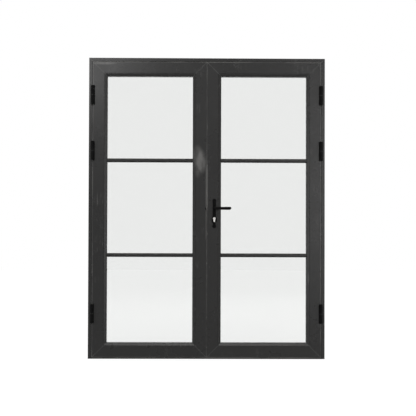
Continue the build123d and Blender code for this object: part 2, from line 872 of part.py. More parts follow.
# Lock case: a thin box behind the faceplate, open where the bolts, spindle and cylinder pass
case_cut = (case_front - cut_over, case_rear + cut_over)
with BuildPart() as lock_case:
    block((case_near, case_front, case_low), (case_far, case_rear, case_high))
    block(
        (case_near + case_wall, case_front + case_wall, case_low + case_wall),
        (case_far - case_wall, case_rear - case_wall, case_high - case_wall),
        Mode.SUBTRACT,
    )
    bore_y(follower_radius + running_clearance, spindle_x, spindle_height, *case_cut)
    cut_euro(*case_cut, part_clearance)
    for level in screw_levels:
        bore_y(screw_radius + case_screw_clearance, spindle_x, level, *case_cut)
    for level, height in ((spindle_height, latch_height), (dead_bolt_level, dead_bolt_height)):
        slot_half = height / 2 + plate_clearance
        block(
            (case_near - cut_over, latch_y[0] - plate_clearance, level - slot_half),
            (case_near + case_wall + cut_over, latch_y[1] + plate_clearance, level + slot_half),
            Mode.SUBTRACT,
        )
save(lock_case.part, "lock_case")

with BuildPart() as faceplate:
    edge_plate(1, faceplate_low, faceplate_high, plate_width)
    for level, height in ((spindle_height, latch_height), (dead_bolt_level, dead_bolt_height)):
        edge_window(1, level - height / 2, level + height / 2, bolt_thickness, plate_clearance)
save(faceplate.part, "lock_faceplate")

# Latch bolt: a bevelled head, and a tail over the follower with a hook behind its arm
latch_tip = leaf_inner - latch_throw
latch_back = leaf_inner + latch_length
hook_near = spindle_x + arm_width / 2 + hook_clearance
tail_low = spindle_height + follower_radius + tail_clearance
tail_high = tail_low + tail_height
latch_low = spindle_height - latch_height / 2
with BuildPart() as latch:
    with BuildSketch(Plane.XY.offset(latch_low)):
        with BuildLine():
            Polyline(
                (latch_tip, latch_y[0]),
                (latch_back, latch_y[0]),
                (latch_back, latch_y[1]),
                (latch_tip + latch_bevel, latch_y[1]),
                (latch_tip, latch_y[1] - latch_bevel),
                close=True,
            )
        make_face()
    extrude(amount=latch_height)
    riser_near = latch_back - tail_height
    tail_rear = latch_y[0] + tail_thickness
    hook_far = hook_near + hook_thickness
    block((riser_near, latch_y[0], spindle_height), (latch_back, tail_rear, tail_high))
    block((riser_near, latch_y[0], tail_low), (hook_far, tail_rear, tail_high))
    block((hook_near, latch_y[0], tail_low), (hook_far, latch_y[1], tail_high))
save(latch.part, "latch_bolt")

# Dead bolt, drawn in until its nose is flush with the faceplate
with BuildPart() as dead_bolt:
    block(
        (leaf_inner, latch_y[0], dead_bolt_level - dead_bolt_height / 2),
        (leaf_inner + dead_bolt_length, latch_y[1], dead_bolt_level + dead_bolt_height / 2),
    )
save(dead_bolt.part, "dead_bolt")

# Lock cylinder with a gap at mid length for the plug's cam
cylinder_front = handle_front - cylinder_proud
cylinder_rear = handle_rear + cylinder_proud
web_low = cylinder_level + cylinder_radius - cylinder_height
web_high = web_low + cam_web
with BuildPart() as cylinder:
    with BuildSketch(depth_plane(spindle_x, cylinder_front, cylinder_level)):
        add(euro_profile())
        Circle(plug_radius + running_clearance, mode=Mode.SUBTRACT)
    extrude(amount=cylinder_rear - cylinder_front)
    block(
        (spindle_x - cylinder_height, middle - cam_gap / 2, web_high),
        (spindle_x + cylinder_height, middle + cam_gap / 2, cylinder_level + cylinder_height),
        Mode.SUBTRACT,
    )
save(cylinder.part, "lock_cylinder")

# Key plug: one turning core with a cam at mid length and a key slot at each end
cam_front = middle - cam_gap / 2 + cam_clearance
cam_rear = middle + cam_gap / 2 - cam_clearance
with BuildPart() as plug:
    with BuildSketch(depth_plane(spindle_x, cylinder_front, cylinder_level)) as core:
        Circle(plug_radius)
    extrude(to_extrude=core.sketch, amount=cylinder_rear - cylinder_front)
    with BuildSketch(depth_plane(spindle_x, cam_front, cylinder_level)) as cam:
        Circle(cam_ring_radius)
        box_sketch((-cam_width / 2, 0), (cam_width / 2, cam_reach))
    extrude(to_extrude=cam.sketch, amount=cam_rear - cam_front)
    for y_low, y_high in (
        (cylinder_front - cut_over, cylinder_front + key_slot_depth),
        (cylinder_rear - key_slot_depth, cylinder_rear + cut_over),
    ):
        block(
            (spindle_x - key_slot_width / 2, y_low, cylinder_level - key_slot_height / 2),
            (spindle_x + key_slot_width / 2, y_high, cylinder_level + key_slot_height / 2),
            Mode.SUBTRACT,
        )
save(plug.part, "cylinder_plug")


def plate_outline():
    """The handle plate from the front: a round lobe at each end and an oval round the cylinder."""
    bulge_drop = cylinder_drop + cylinder_height / 2 - cylinder_radius
    with BuildSketch() as outline:
        box_sketch((-waist / 2, -plate_top_rise), (waist / 2, bulge_drop))
        box_sketch((-foot_waist / 2, bulge_drop), (foot_waist / 2, plate_foot_drop))
        with Locations((0, -plate_top_rise)):
            Circle(lobe_radius)
        with Locations((0, bulge_drop)):
            Ellipse(bulge_half_width, bulge_half_height)
        with Locations((0, plate_foot_drop)):
            Circle(foot_radius)
        inner_corners = outline.vertices().filter_by(
            lambda v: -plate_top_rise < v.Y < plate_foot_drop and abs(v.Y - bulge_drop) > cylinder_radius
        )
        fillet(inner_corners, blend_radius)
    return outline.sketch


def handle_plate(y_face, y_outer):
    """A shaped plate on one face of the leaf, with holes for the lever neck and the cylinder."""
    y_low, y_high = sorted((y_face, y_outer))
    with BuildPart() as plate:
        with BuildSketch(depth_plane(spindle_x, y_low, spindle_height)):
            add(plate_outline())
        extrude(amount=y_high - y_low)
        outer_face = plate.faces().filter_by(Axis.Y).sort_by(Axis.Y)[0 if y_outer < y_face else -1]
        fillet(outer_face.edges(), plate_fillet)
        cut = (y_low - cut_over, y_high + cut_over)
        bore_y(neck_radius + neck_clearance, spindle_x, spindle_height, *cut)
        cut_euro(*cut, part_clearance)
    return plate.part


def screw_cone(y_face, level, clearance, mode):
    """A countersunk head, or the seat for one, on the viewer's side of the front plate."""
    radius = screw_head_radius + clearance
    inner = screw_radius + clearance
    with BuildSketch(Plane(origin=(spindle_x, y_face, level), x_dir=(1, 0, 0), z_dir=(0, 0, 1))) as half:
        with BuildLine():
            Polyline((0, 0), (radius, 0), (inner, radius - inner), (0, radius - inner), close=True)
        make_face()
    axis = Axis((spindle_x, y_face, level), (0, 1, 0))
    revolve(half.sketch, axis=axis, mode=mode)


with BuildPart() as plate_front:
    add(handle_plate(front, handle_front))
    for level in screw_levels:
        screw_cone(handle_front, level, screw_hole_clearance, Mode.SUBTRACT)
        bore_y(screw_radius + screw_hole_clearance, spindle_x, level, handle_front, front + cut_over)
save(plate_front.part, "handle_plate_front")

with BuildPart() as plate_rear:
    add(handle_plate(leaf_rear, handle_rear))
    for level in screw_levels:
        bore_y(screw_radius, spindle_x, level, leaf_rear - cut_over, leaf_rear + screw_engagement)
save(plate_rear.part, "handle_plate_rear")

with BuildPart() as screws:
    for level in screw_levels:
        screw_cone(handle_front, level, 0.0, Mode.ADD)
        with BuildSketch(depth_plane(spindle_x, handle_front, level)) as shank:
            Circle(screw_radius)
        extrude(to_extrude=shank.sketch, amount=leaf_rear + screw_engagement - handle_front)
save(screws.part, "handle_screws")


def lever(y_plate, way):
    """A lever on one side of the leaf: a round neck through the plate, a collar and a flat grip."""
    grip_inner = y_plate + way * (neck_length - lever_thickness)
    grip_outer = y_plate + way * neck_length
    neck_end = y_plate - way * neck_engagement
    collar_inner = y_plate + way * part_clearance
    collar_outer = collar_inner + way * collar_thickness
    socket_end = neck_end + way * socket_depth
    with BuildPart() as handle:
        with BuildSketch(depth_plane(spindle_x, min(grip_inner, grip_outer), spindle_height)) as grip:
            Circle(lever_root_radius)
            with Locations((lever_length - lever_tip_radius, 0)):
                Circle(lever_tip_radius)
            make_hull()
        extrude(to_extrude=grip.sketch, amount=lever_thickness)
        fillet(handle.faces().filter_by(Axis.Y).edges(), lever_fillet)
        for radius, y_from, y_to in (
            (neck_radius, neck_end, grip_inner + way * lever_fillet),
            (collar_radius, collar_inner, collar_outer),
        ):
            with BuildSketch(depth_plane(spindle_x, min(y_from, y_to), spindle_height)) as disc:
                Circle(radius)
            extrude(to_extrude=disc.sketch, amount=abs(y_to - y_from))
        with BuildSketch(depth_plane(spindle_x, min(neck_end, socket_end), spindle_height)) as socket:
            Rectangle(socket_side, socket_side)
        extrude(to_extrude=socket.sketch, amount=socket_depth, mode=Mode.SUBTRACT)
    return handle.part


with BuildPart() as lever_front:
    add(lever(handle_front, -1))
save(lever_front.part, "lever_front")

with BuildPart() as lever_rear:
    add(lever(handle_rear, 1))
save(lever_rear.part, "lever_rear")

# Square spindle between the levers, and the lock's follower that it turns
spindle_front = handle_front + neck_engagement - socket_depth + spindle_end_clearance
spindle_rear = handle_rear - neck_engagement + socket_depth - spindle_end_clearance
with BuildPart() as spindle:
    with BuildSketch(depth_plane(spindle_x, spindle_front, spindle_height)) as bar:
        Rectangle(square, square)
    extrude(to_extrude=bar.sketch, amount=spindle_rear - spindle_front)
    with BuildSketch(depth_plane(spindle_x, case_front, spindle_height)) as follower:
        Circle(follower_radius)
        Rectangle(socket_side, socket_side, mode=Mode.SUBTRACT)
    extrude(to_extrude=follower.sketch, amount=case_thickness)
    block(
        (spindle_x - arm_width / 2, latch_y[1] - arm_thickness, spindle_height + follower_radius - cut_over),
        (spindle_x + arm_width / 2, latch_y[1] - part_clearance, spindle_height + arm_reach),
    )
save(spindle.part, "spindle")
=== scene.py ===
import json
import math

import bpy
import numpy as np
from bpy.props import FloatProperty, FloatVectorProperty, PointerProperty
from mathutils import Euler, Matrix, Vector


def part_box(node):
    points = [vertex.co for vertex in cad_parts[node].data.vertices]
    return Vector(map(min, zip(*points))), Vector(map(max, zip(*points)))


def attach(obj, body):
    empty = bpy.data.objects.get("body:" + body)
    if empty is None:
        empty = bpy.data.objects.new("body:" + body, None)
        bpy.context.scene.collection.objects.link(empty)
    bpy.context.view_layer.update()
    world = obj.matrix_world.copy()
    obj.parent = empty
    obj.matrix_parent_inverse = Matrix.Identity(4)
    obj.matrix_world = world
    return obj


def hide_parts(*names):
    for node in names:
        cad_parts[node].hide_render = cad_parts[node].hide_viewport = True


bl_info = {
    "name": "Aluminium double door",
    "version": (1, 0, 0),
    "blender": (4, 5, 0),
    "location": "View3D > Sidebar > Door",
    "description": "Dresses a packed aluminium double door with its coatings, glass, seals and fittings",
    "category": "Object",
}

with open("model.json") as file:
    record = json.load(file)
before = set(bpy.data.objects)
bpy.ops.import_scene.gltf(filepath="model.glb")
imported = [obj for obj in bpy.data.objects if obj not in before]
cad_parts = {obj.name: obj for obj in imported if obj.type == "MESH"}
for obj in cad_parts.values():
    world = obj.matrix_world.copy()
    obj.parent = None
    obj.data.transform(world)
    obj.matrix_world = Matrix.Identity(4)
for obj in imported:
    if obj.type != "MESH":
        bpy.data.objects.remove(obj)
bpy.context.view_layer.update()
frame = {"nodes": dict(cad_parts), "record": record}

MM = 0.001

# How far the thin front lips of a leaf reach past its profiles, at the frame and at the meeting gap
LIP_REACH = 4.5 * MM
MEETING_LIP_REACH = 1.75 * MM

# Outline of a leaf's profiles without the lips, and of the frame, in metres; x counts from the door's middle
LEAF_FRONT_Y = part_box("left_leaf_bottom_rail")[0][1]
LEAF_OUTER_X = -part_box("left_leaf_bottom_rail")[0][0] - LIP_REACH
LEAF_INNER_X = -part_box("left_leaf_bottom_rail")[1][0] + MEETING_LIP_REACH
LEAF_BOTTOM_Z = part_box("left_leaf_bottom_rail")[0][2] + LIP_REACH
LEAF_TOP_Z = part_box("left_leaf_top_rail")[1][2] - LIP_REACH
LEAF_CENTRE_X = (LEAF_OUTER_X + LEAF_INNER_X) / 2
LEAF_CENTRE_Z = (LEAF_TOP_Z + LEAF_BOTTOM_Z) / 2
LEAF_HALF_WIDTH = (LEAF_OUTER_X - LEAF_INNER_X) / 2
LEAF_HALF_HEIGHT = (LEAF_TOP_Z - LEAF_BOTTOM_Z) / 2
FRAME_HALF_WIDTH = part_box("frame_head")[1][0]
FRAME_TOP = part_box("frame_head")[1][2]
# How wide the frame shows outside the leaf lips, and the soft edge of that limit
FRAME_FACE = 24.2 * MM
FRAME_FACE_SOFT = 0.8 * MM


# Settings


class DoorFinish(bpy.types.PropertyGroup):
    coating: FloatVectorProperty(
        name="Coating", description="Colour of the powder coating on frame and leaves",
        subtype="COLOR", size=3, min=0, max=1, default=(0.0120, 0.0117, 0.0113))
    coating_roughness: FloatProperty(
        name="Coating roughness", description="Roughness of the powder coating",
        min=0, max=1, default=0.28)
    hardware: FloatVectorProperty(
        name="Hardware", description="Colour of the black hinges, handle plates and levers",
        subtype="COLOR", size=3, min=0, max=1, default=(0.0016, 0.0016, 0.0016))
    glass: FloatVectorProperty(
        name="Glass", description="Tint of each pane",
        subtype="COLOR", size=3, min=0, max=1, default=(0.90, 0.905, 0.90))
    rubber: FloatVectorProperty(
        name="Rubber", description="Colour of the glazing gaskets",
        subtype="COLOR", size=3, min=0, max=1, default=(0.008, 0.008, 0.008))


class DoorStage(bpy.types.PropertyGroup):
    focal_length: FloatProperty(
        name="Focal length", description="Focal length of the camera in millimetres",
        min=20, max=200, default=86.36)
    camera_place: FloatVectorProperty(
        name="Camera", description="Where the camera stands",
        subtype="XYZ", unit="LENGTH", size=3, default=(-0.0715, -7.0, 0.9302))
    camera_turn: FloatVectorProperty(
        name="Camera turn",
        description="Pitch, roll and yaw of the camera from looking straight along +Y",
        subtype="EULER", unit="ROTATION", size=3, default=(0.0174, 0.0031, -0.0115))
    day_level: FloatProperty(
        name="Sky level", description="Strength of the light that comes from all round",
        min=0, max=2, default=0.60)


# Node helpers


def socket_value(node, name, value):
    """Sets one input of a node to a number, a colour or another node's output."""
    target = node.inputs[name]
    if isinstance(value, bpy.types.NodeSocket):
        node.id_data.links.new(value, target)
    elif isinstance(target.default_value, float):
        target.default_value = value
    elif len(target.default_value) == 4 and len(value) == 3:
        target.default_value = (*value, 1.0)
    else:
        target.default_value = value


def set_inputs(node, inputs):
    """Sets or links inputs by name, written with _ for a space."""
    for key, value in inputs.items():
        socket_value(node, key.replace("_", " "), value)


def add_node(tree, kind, settings=None, **inputs):
    """Adds a node, sets its own settings, and sets or links its named inputs."""
    node = tree.nodes.new("ShaderNode" + kind)
    for key, value in (settings or {}).items():
        setattr(node, key, value)
    set_inputs(node, inputs)
    return node


def maths(tree, operation, first, second=0.0, third=0.0, clamp=False):
    """One Math node; each term is a number or another node's output."""
    node = tree.nodes.new("ShaderNodeMath")
    node.operation = operation
    node.use_clamp = clamp
    for index, term in enumerate((first, second, third)):
        if isinstance(term, bpy.types.NodeSocket):
            tree.links.new(term, node.inputs[index])
        else:
            node.inputs[index].default_value = term
    return node.outputs[0]


def product(tree, first, *others):
    """Several terms multiplied, from left to right."""
    for term in others:
        first = maths(tree, "MULTIPLY", first, term)
    return first


def apart(tree, first, second):
    """How far two values are from each other."""
    return maths(tree, "ABSOLUTE", maths(tree, "SUBTRACT", first, second))


def fade(tree, distance, width):
    """1 at distance 0, falling evenly to 0 at the width."""
    return maths(tree, "SUBTRACT", 1.0, maths(tree, "DIVIDE", distance, width), clamp=True)


def ramp(tree, value, low, high, out_low=0.0, out_high=1.0):
    """Smooth step of a value between two limits."""
    node = add_node(tree, "MapRange", {"interpolation_type": "SMOOTHSTEP"}, Value=value,
                    From_Min=low, From_Max=high, To_Min=out_low, To_Max=out_high)
    return node.outputs["Result"]


def band(tree, value, low, high, soft):
    """1 between two limits, with soft shoulders."""
    rise = ramp(tree, value, low - soft, low)
    fall = ramp(tree, value, high, high + soft, 1.0, 0.0)
    return product(tree, rise, fall)


def oval(tree, pair, centre, radii):
    """The square of the distance from a centre, measured in radii: 0 in the middle and 1 on the rim."""
    squares = []
    for value, middle, radius in zip(pair, centre, radii):
        share = maths(tree, "DIVIDE", maths(tree, "SUBTRACT", value, middle), radius)
        squares.append(maths(tree, "MULTIPLY", share, share))
    return maths(tree, "ADD", *squares)


def mix_colour(tree, factor, first, second, blend="MIX"):
    """Mixes two colours; each is a colour or another node's output."""
    node = tree.nodes.new("ShaderNodeMix")
    node.data_type = "RGBA"
    node.blend_type = blend
    # A colour Mix node has its factor at input 0 and its two colours at 6 and 7
    for index, term in ((0, factor), (6, first), (7, second)):
        if isinstance(term, bpy.types.NodeSocket):
            tree.links.new(term, node.inputs[index])
        elif index == 0:
            node.inputs[index].default_value = term
        else:
            node.inputs[index].default_value = (*term, 1.0)
    return node.outputs[2]


def mix_value(tree, factor, first, second):
    """Goes from one value to another with the factor."""
    step = maths(tree, "SUBTRACT", second, first)
    return maths(tree, "MULTIPLY_ADD", factor, step, first)


def new_group(name, inputs, outputs):
    """Starts a node group of numbers: its inputs are given as name and default, its outputs by name."""
    tree = bpy.data.node_groups.new(name, "ShaderNodeTree")
    for key, default in inputs.items():
        item = tree.interface.new_socket(name=key, in_out="INPUT", socket_type="NodeSocketFloat")
        item.default_value = default
    for key in outputs:
        tree.interface.new_socket(name=key, in_out="OUTPUT", socket_type="NodeSocketFloat")
    start = tree.nodes.new("NodeGroupInput")
    end = tree.nodes.new("NodeGroupOutput")
    return tree, start.outputs, end.inputs


def use_group(tree, group, **inputs):
    """Places a node group in a material and sets its named inputs."""
    node = tree.nodes.new("ShaderNodeGroup")
    node.node_tree = group
    set_inputs(node, inputs)
    return node.outputs


def object_point(tree):
    """The point on the piece, in metres, that patterns are laid out on."""
    return add_node(tree, "TexCoord").outputs["Object"]


def stretched_point(tree, scale):
    """The same point with its x, y and z scaled, so that patterns on it stretch where the scale is small."""
    return add_node(tree, "Mapping", Vector=object_point(tree), Scale=scale).outputs[0]


def parts_of(tree, vector):
    """The x, y and z of a vector output."""
    return add_node(tree, "SeparateXYZ", Vector=vector).outputs


def noise(tree, place, scale, detail, roughness=0.5):
    """The level of a cloud of noise, from 0 to 1 and mostly near 0.5."""
    node = add_node(tree, "TexNoise", Vector=place, Scale=scale, Detail=detail, Roughness=roughness)
    return node.outputs["Fac"]


# Shared effects


# Each lighter oval of painted light on the front face, three of them a painted highlight on the left meeting
# stile and the rest lighter spots: its middle (x, z), its radii along x and z in metres, and its strength
PAINTED_LIGHT_SPOTS = (
    ((-0.064, 1.418), (0.046, 0.085), 0.34),
    ((-0.036, 1.374), (0.040, 0.095), 0.44),
    ((-0.062, 1.336), (0.034, 0.090), 0.24),
    ((-0.715, 2.062), (0.100, 0.012), 0.40),
    ((-0.764, 1.110), (0.003, 0.060), 0.45),
    ((0.711, 0.565), (0.010, 0.055), 0.22),
    ((0.004, 0.872), (0.006, 0.009), 0.30),
    ((0.020, 0.640), (0.004, 0.006), 0.25),
)
# The most that the painted light spots add up to
BRIGHTEST_PAINTED_SPOT = 0.62

# Each stretch of painted highlight along the meeting edges, where the lip's edge catches light: (low x, high
# x, soft end), (low z, high z, soft end), strength
PAINTED_EDGE_HIGHLIGHTS = (
    ((-0.0065, 0.0055, 0.0020), (1.09, 1.31, 0.07), 0.40),
    ((-0.0085, -0.0025, 0.0020), (0.86, 1.03, 0.05), 0.14),
)

# The painted highlights and lighter spots show on the front only: they end between these depths
PAINTED_LIGHT_END_Y = (-12 * MM, -10 * MM)


def make_grain_group():
    """Orange peel of a sprayed or moulded skin: two sizes of noise as a height, and a slow cloud as a tone.

    The height is the coarse noise plus a share of the fine one, and the tone is 1 plus a share of the cloud.
    """
    tree, given, result = new_group(
        "skin_grain", {"Scale": 600.0, "Fine share": 0.4, "Tone share": 0.2},
        ("Height", "Tone"))
    times_finer = 3.7
    place = object_point(tree)
    coarse = noise(tree, place, given["Scale"], 2.0)
    fine = noise(tree, place, product(tree, given["Scale"], times_finer), 1.0)
    tree.links.new(maths(tree, "MULTIPLY_ADD", fine, given["Fine share"], coarse), result["Height"])
    cloud = noise(tree, place, 5.0, 4.0, 0.6)
    tone = maths(tree, "SUBTRACT", cloud, 0.5)
    tree.links.new(maths(tree, "MULTIPLY_ADD", tone, given["Tone share"], 1.0), result["Tone"])
    return tree


def make_scratch_group():
    """Fine scratches: stretched noise, cut to thin lines where it crosses 0.5, and thinned by a cloud."""
    tree, given, result = new_group(
        "fine_scratches", {"Scale": 30.0, "Turn": 0.4, "Amount": 0.5}, ("Mask",))
    line_width = 0.006
    turn = add_node(tree, "CombineXYZ", Y=given["Turn"])
    stretch = (1.0, 1.0, 0.06)
    mapping = add_node(tree, "Mapping", Vector=object_point(tree), Rotation=turn.outputs[0], Scale=stretch)
    lines = noise(tree, mapping.outputs[0], given["Scale"], 6.0, 0.7)
    line = ramp(tree, apart(tree, lines, 0.5), 0.0, line_width, 1.0, 0.0)
    patch = ramp(tree, noise(tree, object_point(tree), 9.0, 3.0), 0.55, 0.72)
    tree.links.new(product(tree, line, patch, given["Amount"]), result["Mask"])
    return tree


def make_mitre_group():
    """Hairline along the 45 degree mitres of leaves and frame.

    A point is on a mitre where its distances to the two outer edges of the corner are the same.
    """
    tree, given, result = new_group(
        "mitre_line", {"Line width": 0.0011, "Corner x": LEAF_HALF_WIDTH, "Corner z": LEAF_HALF_HEIGHT},
        ("Mask",))
    x, _, z = parts_of(tree, object_point(tree))
    from_middle = maths(tree, "ABSOLUTE", x)
    side = maths(tree, "SUBTRACT", given["Corner x"], apart(tree, from_middle, LEAF_CENTRE_X))
    end = maths(tree, "SUBTRACT", given["Corner z"], apart(tree, z, LEAF_CENTRE_Z))
    frame_side = maths(tree, "SUBTRACT", FRAME_HALF_WIDTH, from_middle)
    frame_end = maths(tree, "SUBTRACT", FRAME_TOP, z)
    leaf_line = fade(tree, apart(tree, side, end), given["Line width"])
    frame_line = fade(tree, apart(tree, frame_side, frame_end), given["Line width"])
    on_frame = ramp(tree, frame_side, FRAME_FACE, FRAME_FACE + FRAME_FACE_SOFT, 1.0, 0.0)
    tree.links.new(mix_value(tree, on_frame, leaf_line, frame_line), result["Mask"])
    return tree


def make_painted_highlight_group():
    """Painted light on the leaves: a painted highlight line along the outer edges, where the lips' rounding
    catches light, a painted highlight patch on the left meeting stile with lighter spots, and painted
    highlights along the meeting edges.

    The edge mask falls with the distance to the outline of the leaf's lips. Patches are soft ovals broken
    up by streaks, and the meeting-edge highlights are soft boxes.
    """
    tree, given, result = new_group(
        "painted_highlights_and_spots", {"Edge width": 0.0065}, ("Edge", "Patch"))
    place = object_point(tree)
    x, y, z = parts_of(tree, place)
    outer = ramp(tree, y, *PAINTED_LIGHT_END_Y, 1.0, 0.0)
    across = apart(tree, maths(tree, "ABSOLUTE", x), LEAF_CENTRE_X)
    side = maths(tree, "SUBTRACT", LEAF_HALF_WIDTH + LIP_REACH, across)
    end = maths(tree, "SUBTRACT", LEAF_HALF_HEIGHT + LIP_REACH, apart(tree, z, LEAF_CENTRE_Z))
    nearest = maths(tree, "MINIMUM", side, end)
    on_leaf = ramp(tree, nearest, -0.3 * MM, 0.3 * MM)
    uneven = ramp(tree, noise(tree, place, 6.0, 4.0), 0.35, 0.6, 0.35, 1.0)
    # Painted highlight: a light line along the leaf's outer edges
    edge = product(tree, fade(tree, nearest, given["Edge width"]), on_leaf, uneven, outer)
    tree.links.new(edge, result["Edge"])

    streaks = noise(tree, stretched_point(tree, (1.0, 1.0, 0.35)), 34.0, 5.0)
    streak = ramp(tree, streaks, 0.25, 0.65, 0.40, 1.0)
    patch = 0.0
    # Painted highlight patch on the left meeting stile, and lighter spots
    for centre, radii, level in PAINTED_LIGHT_SPOTS:
        spot = ramp(tree, oval(tree, (x, z), centre, radii), 0.0, 1.0, level, 0.0)
        patch = maths(tree, "ADD", spot, patch)
    marks = product(tree, maths(tree, "MINIMUM", patch, BRIGHTEST_PAINTED_SPOT), streak)
    # Painted highlight along the meeting edges
    for span_x, span_z, level in PAINTED_EDGE_HIGHLIGHTS:
        meeting_edge_highlight = product(tree, band(tree, x, *span_x), band(tree, z, *span_z), level)
        marks = maths(tree, "MAXIMUM", marks, meeting_edge_highlight)
    tree.links.new(product(tree, marks, outer), result["Patch"])
    return tree


def make_brushed_group():
    """Lengthwise drawing marks of an extruded or brushed metal: noise stretched along one axis."""
    tree, given, result = new_group(
        "drawn_marks", {"Scale": 900.0, "Along x": 1.0, "Along y": 1.0, "Along z": 0.02},
        ("Height", "Tone"))
    tone_spread = 0.3
    stretch = add_node(tree, "CombineXYZ", X=given["Along x"], Y=given["Along y"], Z=given["Along z"])
    lines = noise(tree, stretched_point(tree, stretch.outputs[0]), given["Scale"], 3.0)
    tree.links.new(lines, result["Height"])
    tone = maths(tree, "MULTIPLY_ADD", lines, tone_spread, 1.0 - tone_spread / 2)
    tree.links.new(tone, result["Tone"])
    return tree


def make_dust_group():
    """Dust on what faces up, which also paints light on upward faces such as the lower bead slopes: the
    upward part of the surface direction, broken up by noise.
    """
    tree, given, result = new_group("settled_dust", {"Amount": 0.3}, ("Mask",))
    geometry = add_node(tree, "NewGeometry")
    facing_up = ramp(tree, parts_of(tree, geometry.outputs["Normal"])[2], 0.35, 0.85)
    broken = ramp(tree, noise(tree, object_point(tree), 120.0, 4.0), 0.35, 0.65)
    tree.links.new(product(tree, facing_up, broken, given["Amount"]), result["Mask"])
    return tree


GROUPS = {}


def groups():
    """Builds the shared effects once."""
    if not GROUPS:
        GROUPS.update(grain=make_grain_group(), scratches=make_scratch_group(), mitre=make_mitre_group(),
                      brushed=make_brushed_group(), dust=make_dust_group(), rubs=make_painted_highlight_group())
    return GROUPS


# Materials


def new_material(name):
    """An empty material with a Principled BSDF wired to its output."""
    material = bpy.data.materials.new(name)
    material.use_nodes = True
    tree = material.node_tree
    shader = next(node for node in tree.nodes if node.type == "BSDF_PRINCIPLED")
    return material, tree, shader


def bump(tree, shader, height, distance):
    """Feeds a height, which the distance turns into metres, to the shader's normal."""
    node = add_node(tree, "Bump", Height=height, Distance=distance, Strength=1.0)
    tree.links.new(node.outputs["Normal"], shader.inputs["Normal"])


# Colours that marks leave on a finish, and colours of painted light: dust that also paints light on upward
# faces, painted highlights on edges and patches, painted shade in holes
SCRATCH_COLOUR = (0.3, 0.3, 0.29)
DUST_AND_TOP_LIGHT_COLOUR = (0.35, 0.33, 0.30)
EDGE_HIGHLIGHT_COLOUR = (0.14, 0.137, 0.132)
PATCH_HIGHLIGHT_COLOUR = (0.17, 0.167, 0.16)
CUT_METAL_COLOUR = (0.85, 0.85, 0.85)
HOLE_SHADE_COLOUR = (0.02, 0.02, 0.02)

# How much roughness changes from the palest to the darkest tone of a skin
GLOSS_SPREAD = 0.12


def skin(name, colour, roughness, grain_scale, grain_depth, tone=0.2, dust=0.14, scratches=0.3,
         mitres=0.0, gloss=0.5, rubs=0.0):
    """A coated, moulded or cast skin: orange peel, tone changes, scratches, dust that also paints light on
    upward faces, painted highlights, mitre hairlines.

    The roughness is its level plus the tone's difference from 1, times the spread for each share of tone.
    """
    kit = groups()
    material, tree, shader = new_material(name)
    grain = use_group(tree, kit["grain"], Scale=grain_scale, Tone_share=tone)
    base = mix_colour(tree, 1.0, colour, grain["Tone"], "MULTIPLY")
    if scratches:
        marks = use_group(tree, kit["scratches"], Amount=scratches)
        base = mix_colour(tree, marks["Mask"], base, SCRATCH_COLOUR)
    # Dust, which also paints light on faces that turn up
    if dust:
        dust_and_light_mask = use_group(tree, kit["dust"], Amount=dust)
        base = mix_colour(tree, dust_and_light_mask["Mask"], base, DUST_AND_TOP_LIGHT_COLOUR)
    # Painted highlights along the leaves' edges and on a patch, with lighter spots
    if rubs:
        highlights = use_group(tree, kit["rubs"])
        base = mix_colour(tree, product(tree, highlights["Edge"], rubs), base, EDGE_HIGHLIGHT_COLOUR)
        base = mix_colour(tree, highlights["Patch"], base, PATCH_HIGHLIGHT_COLOUR)
    if mitres:
        seam = use_group(tree, kit["mitre"])
        base = mix_colour(tree, product(tree, seam["Mask"], mitres), base, SCRATCH_COLOUR)
    socket_value(shader, "Base Color", base)
    uneven = maths(tree, "SUBTRACT", grain["Tone"], 1.0)
    socket_value(shader, "Roughness", maths(tree, "MULTIPLY_ADD", uneven, GLOSS_SPREAD / tone, roughness))
    shader.inputs["Specular IOR Level"].default_value = gloss
    bump(tree, shader, grain["Height"], grain_depth)
    return material


def drawn_metal(name, colour, roughness, along, scale=900.0, depth=0.00002, scratches=0.2):
    """Bare metal with drawing marks along one axis, given as the stretch of x, y and z."""
    gloss_spread = 0.2
    kit = groups()
    material, tree, shader = new_material(name)
    along_x, along_y, along_z = along
    marks = use_group(tree, kit["brushed"], Scale=scale, Along_x=along_x, Along_y=along_y, Along_z=along_z)
    cuts = use_group(tree, kit["scratches"], Amount=scratches)
    base = mix_colour(tree, 1.0, colour, marks["Tone"], "MULTIPLY")
    socket_value(shader, "Base Color", mix_colour(tree, cuts["Mask"], base, CUT_METAL_COLOUR))
    rough = maths(tree, "MULTIPLY_ADD", marks["Height"], gloss_spread, roughness - gloss_spread / 2)
    socket_value(shader, "Roughness", rough)
    shader.inputs["Metallic"].default_value = 1.0
    bump(tree, shader, marks["Height"], depth)
    return material


def clear_glass(name, tint):
    """Float glass with a slow ripple and faint wipe marks in its gloss."""
    film_roughness, ripple_depth = 0.008, 0.00005
    material, tree, shader = new_material(name)
    ripple = noise(tree, object_point(tree), 2.5, 1.0)
    film = noise(tree, stretched_point(tree, (1.0, 1.0, 5.0)), 6.0, 5.0)
    socket_value(shader, "Roughness", ramp(tree, film, 0.55, 0.8, 0.0, film_roughness))
    shader.inputs["Base Color"].default_value = (*tint, 1.0)
    shader.inputs["Transmission Weight"].default_value = 1.0
    shader.inputs["IOR"].default_value = 1.5
    bump(tree, shader, ripple, ripple_depth)
    return material


def fibre_pile(name, colour):
    """Brush pile: the colour changes from tuft to tuft, between half and 1.8 times its level."""
    pile_depth = 0.0004
    material, tree, shader = new_material(name)
    tufts = noise(tree, stretched_point(tree, (3.0, 3.0, 1.0)), 1200.0, 2.0)
    dark, pale = ([channel * share for channel in colour] for share in (0.5, 1.8))
    socket_value(shader, "Base Color", mix_colour(tree, tufts, dark, pale))
    shader.inputs["Roughness"].default_value = 0.85
    bump(tree, shader, tufts, pile_depth)
    return material


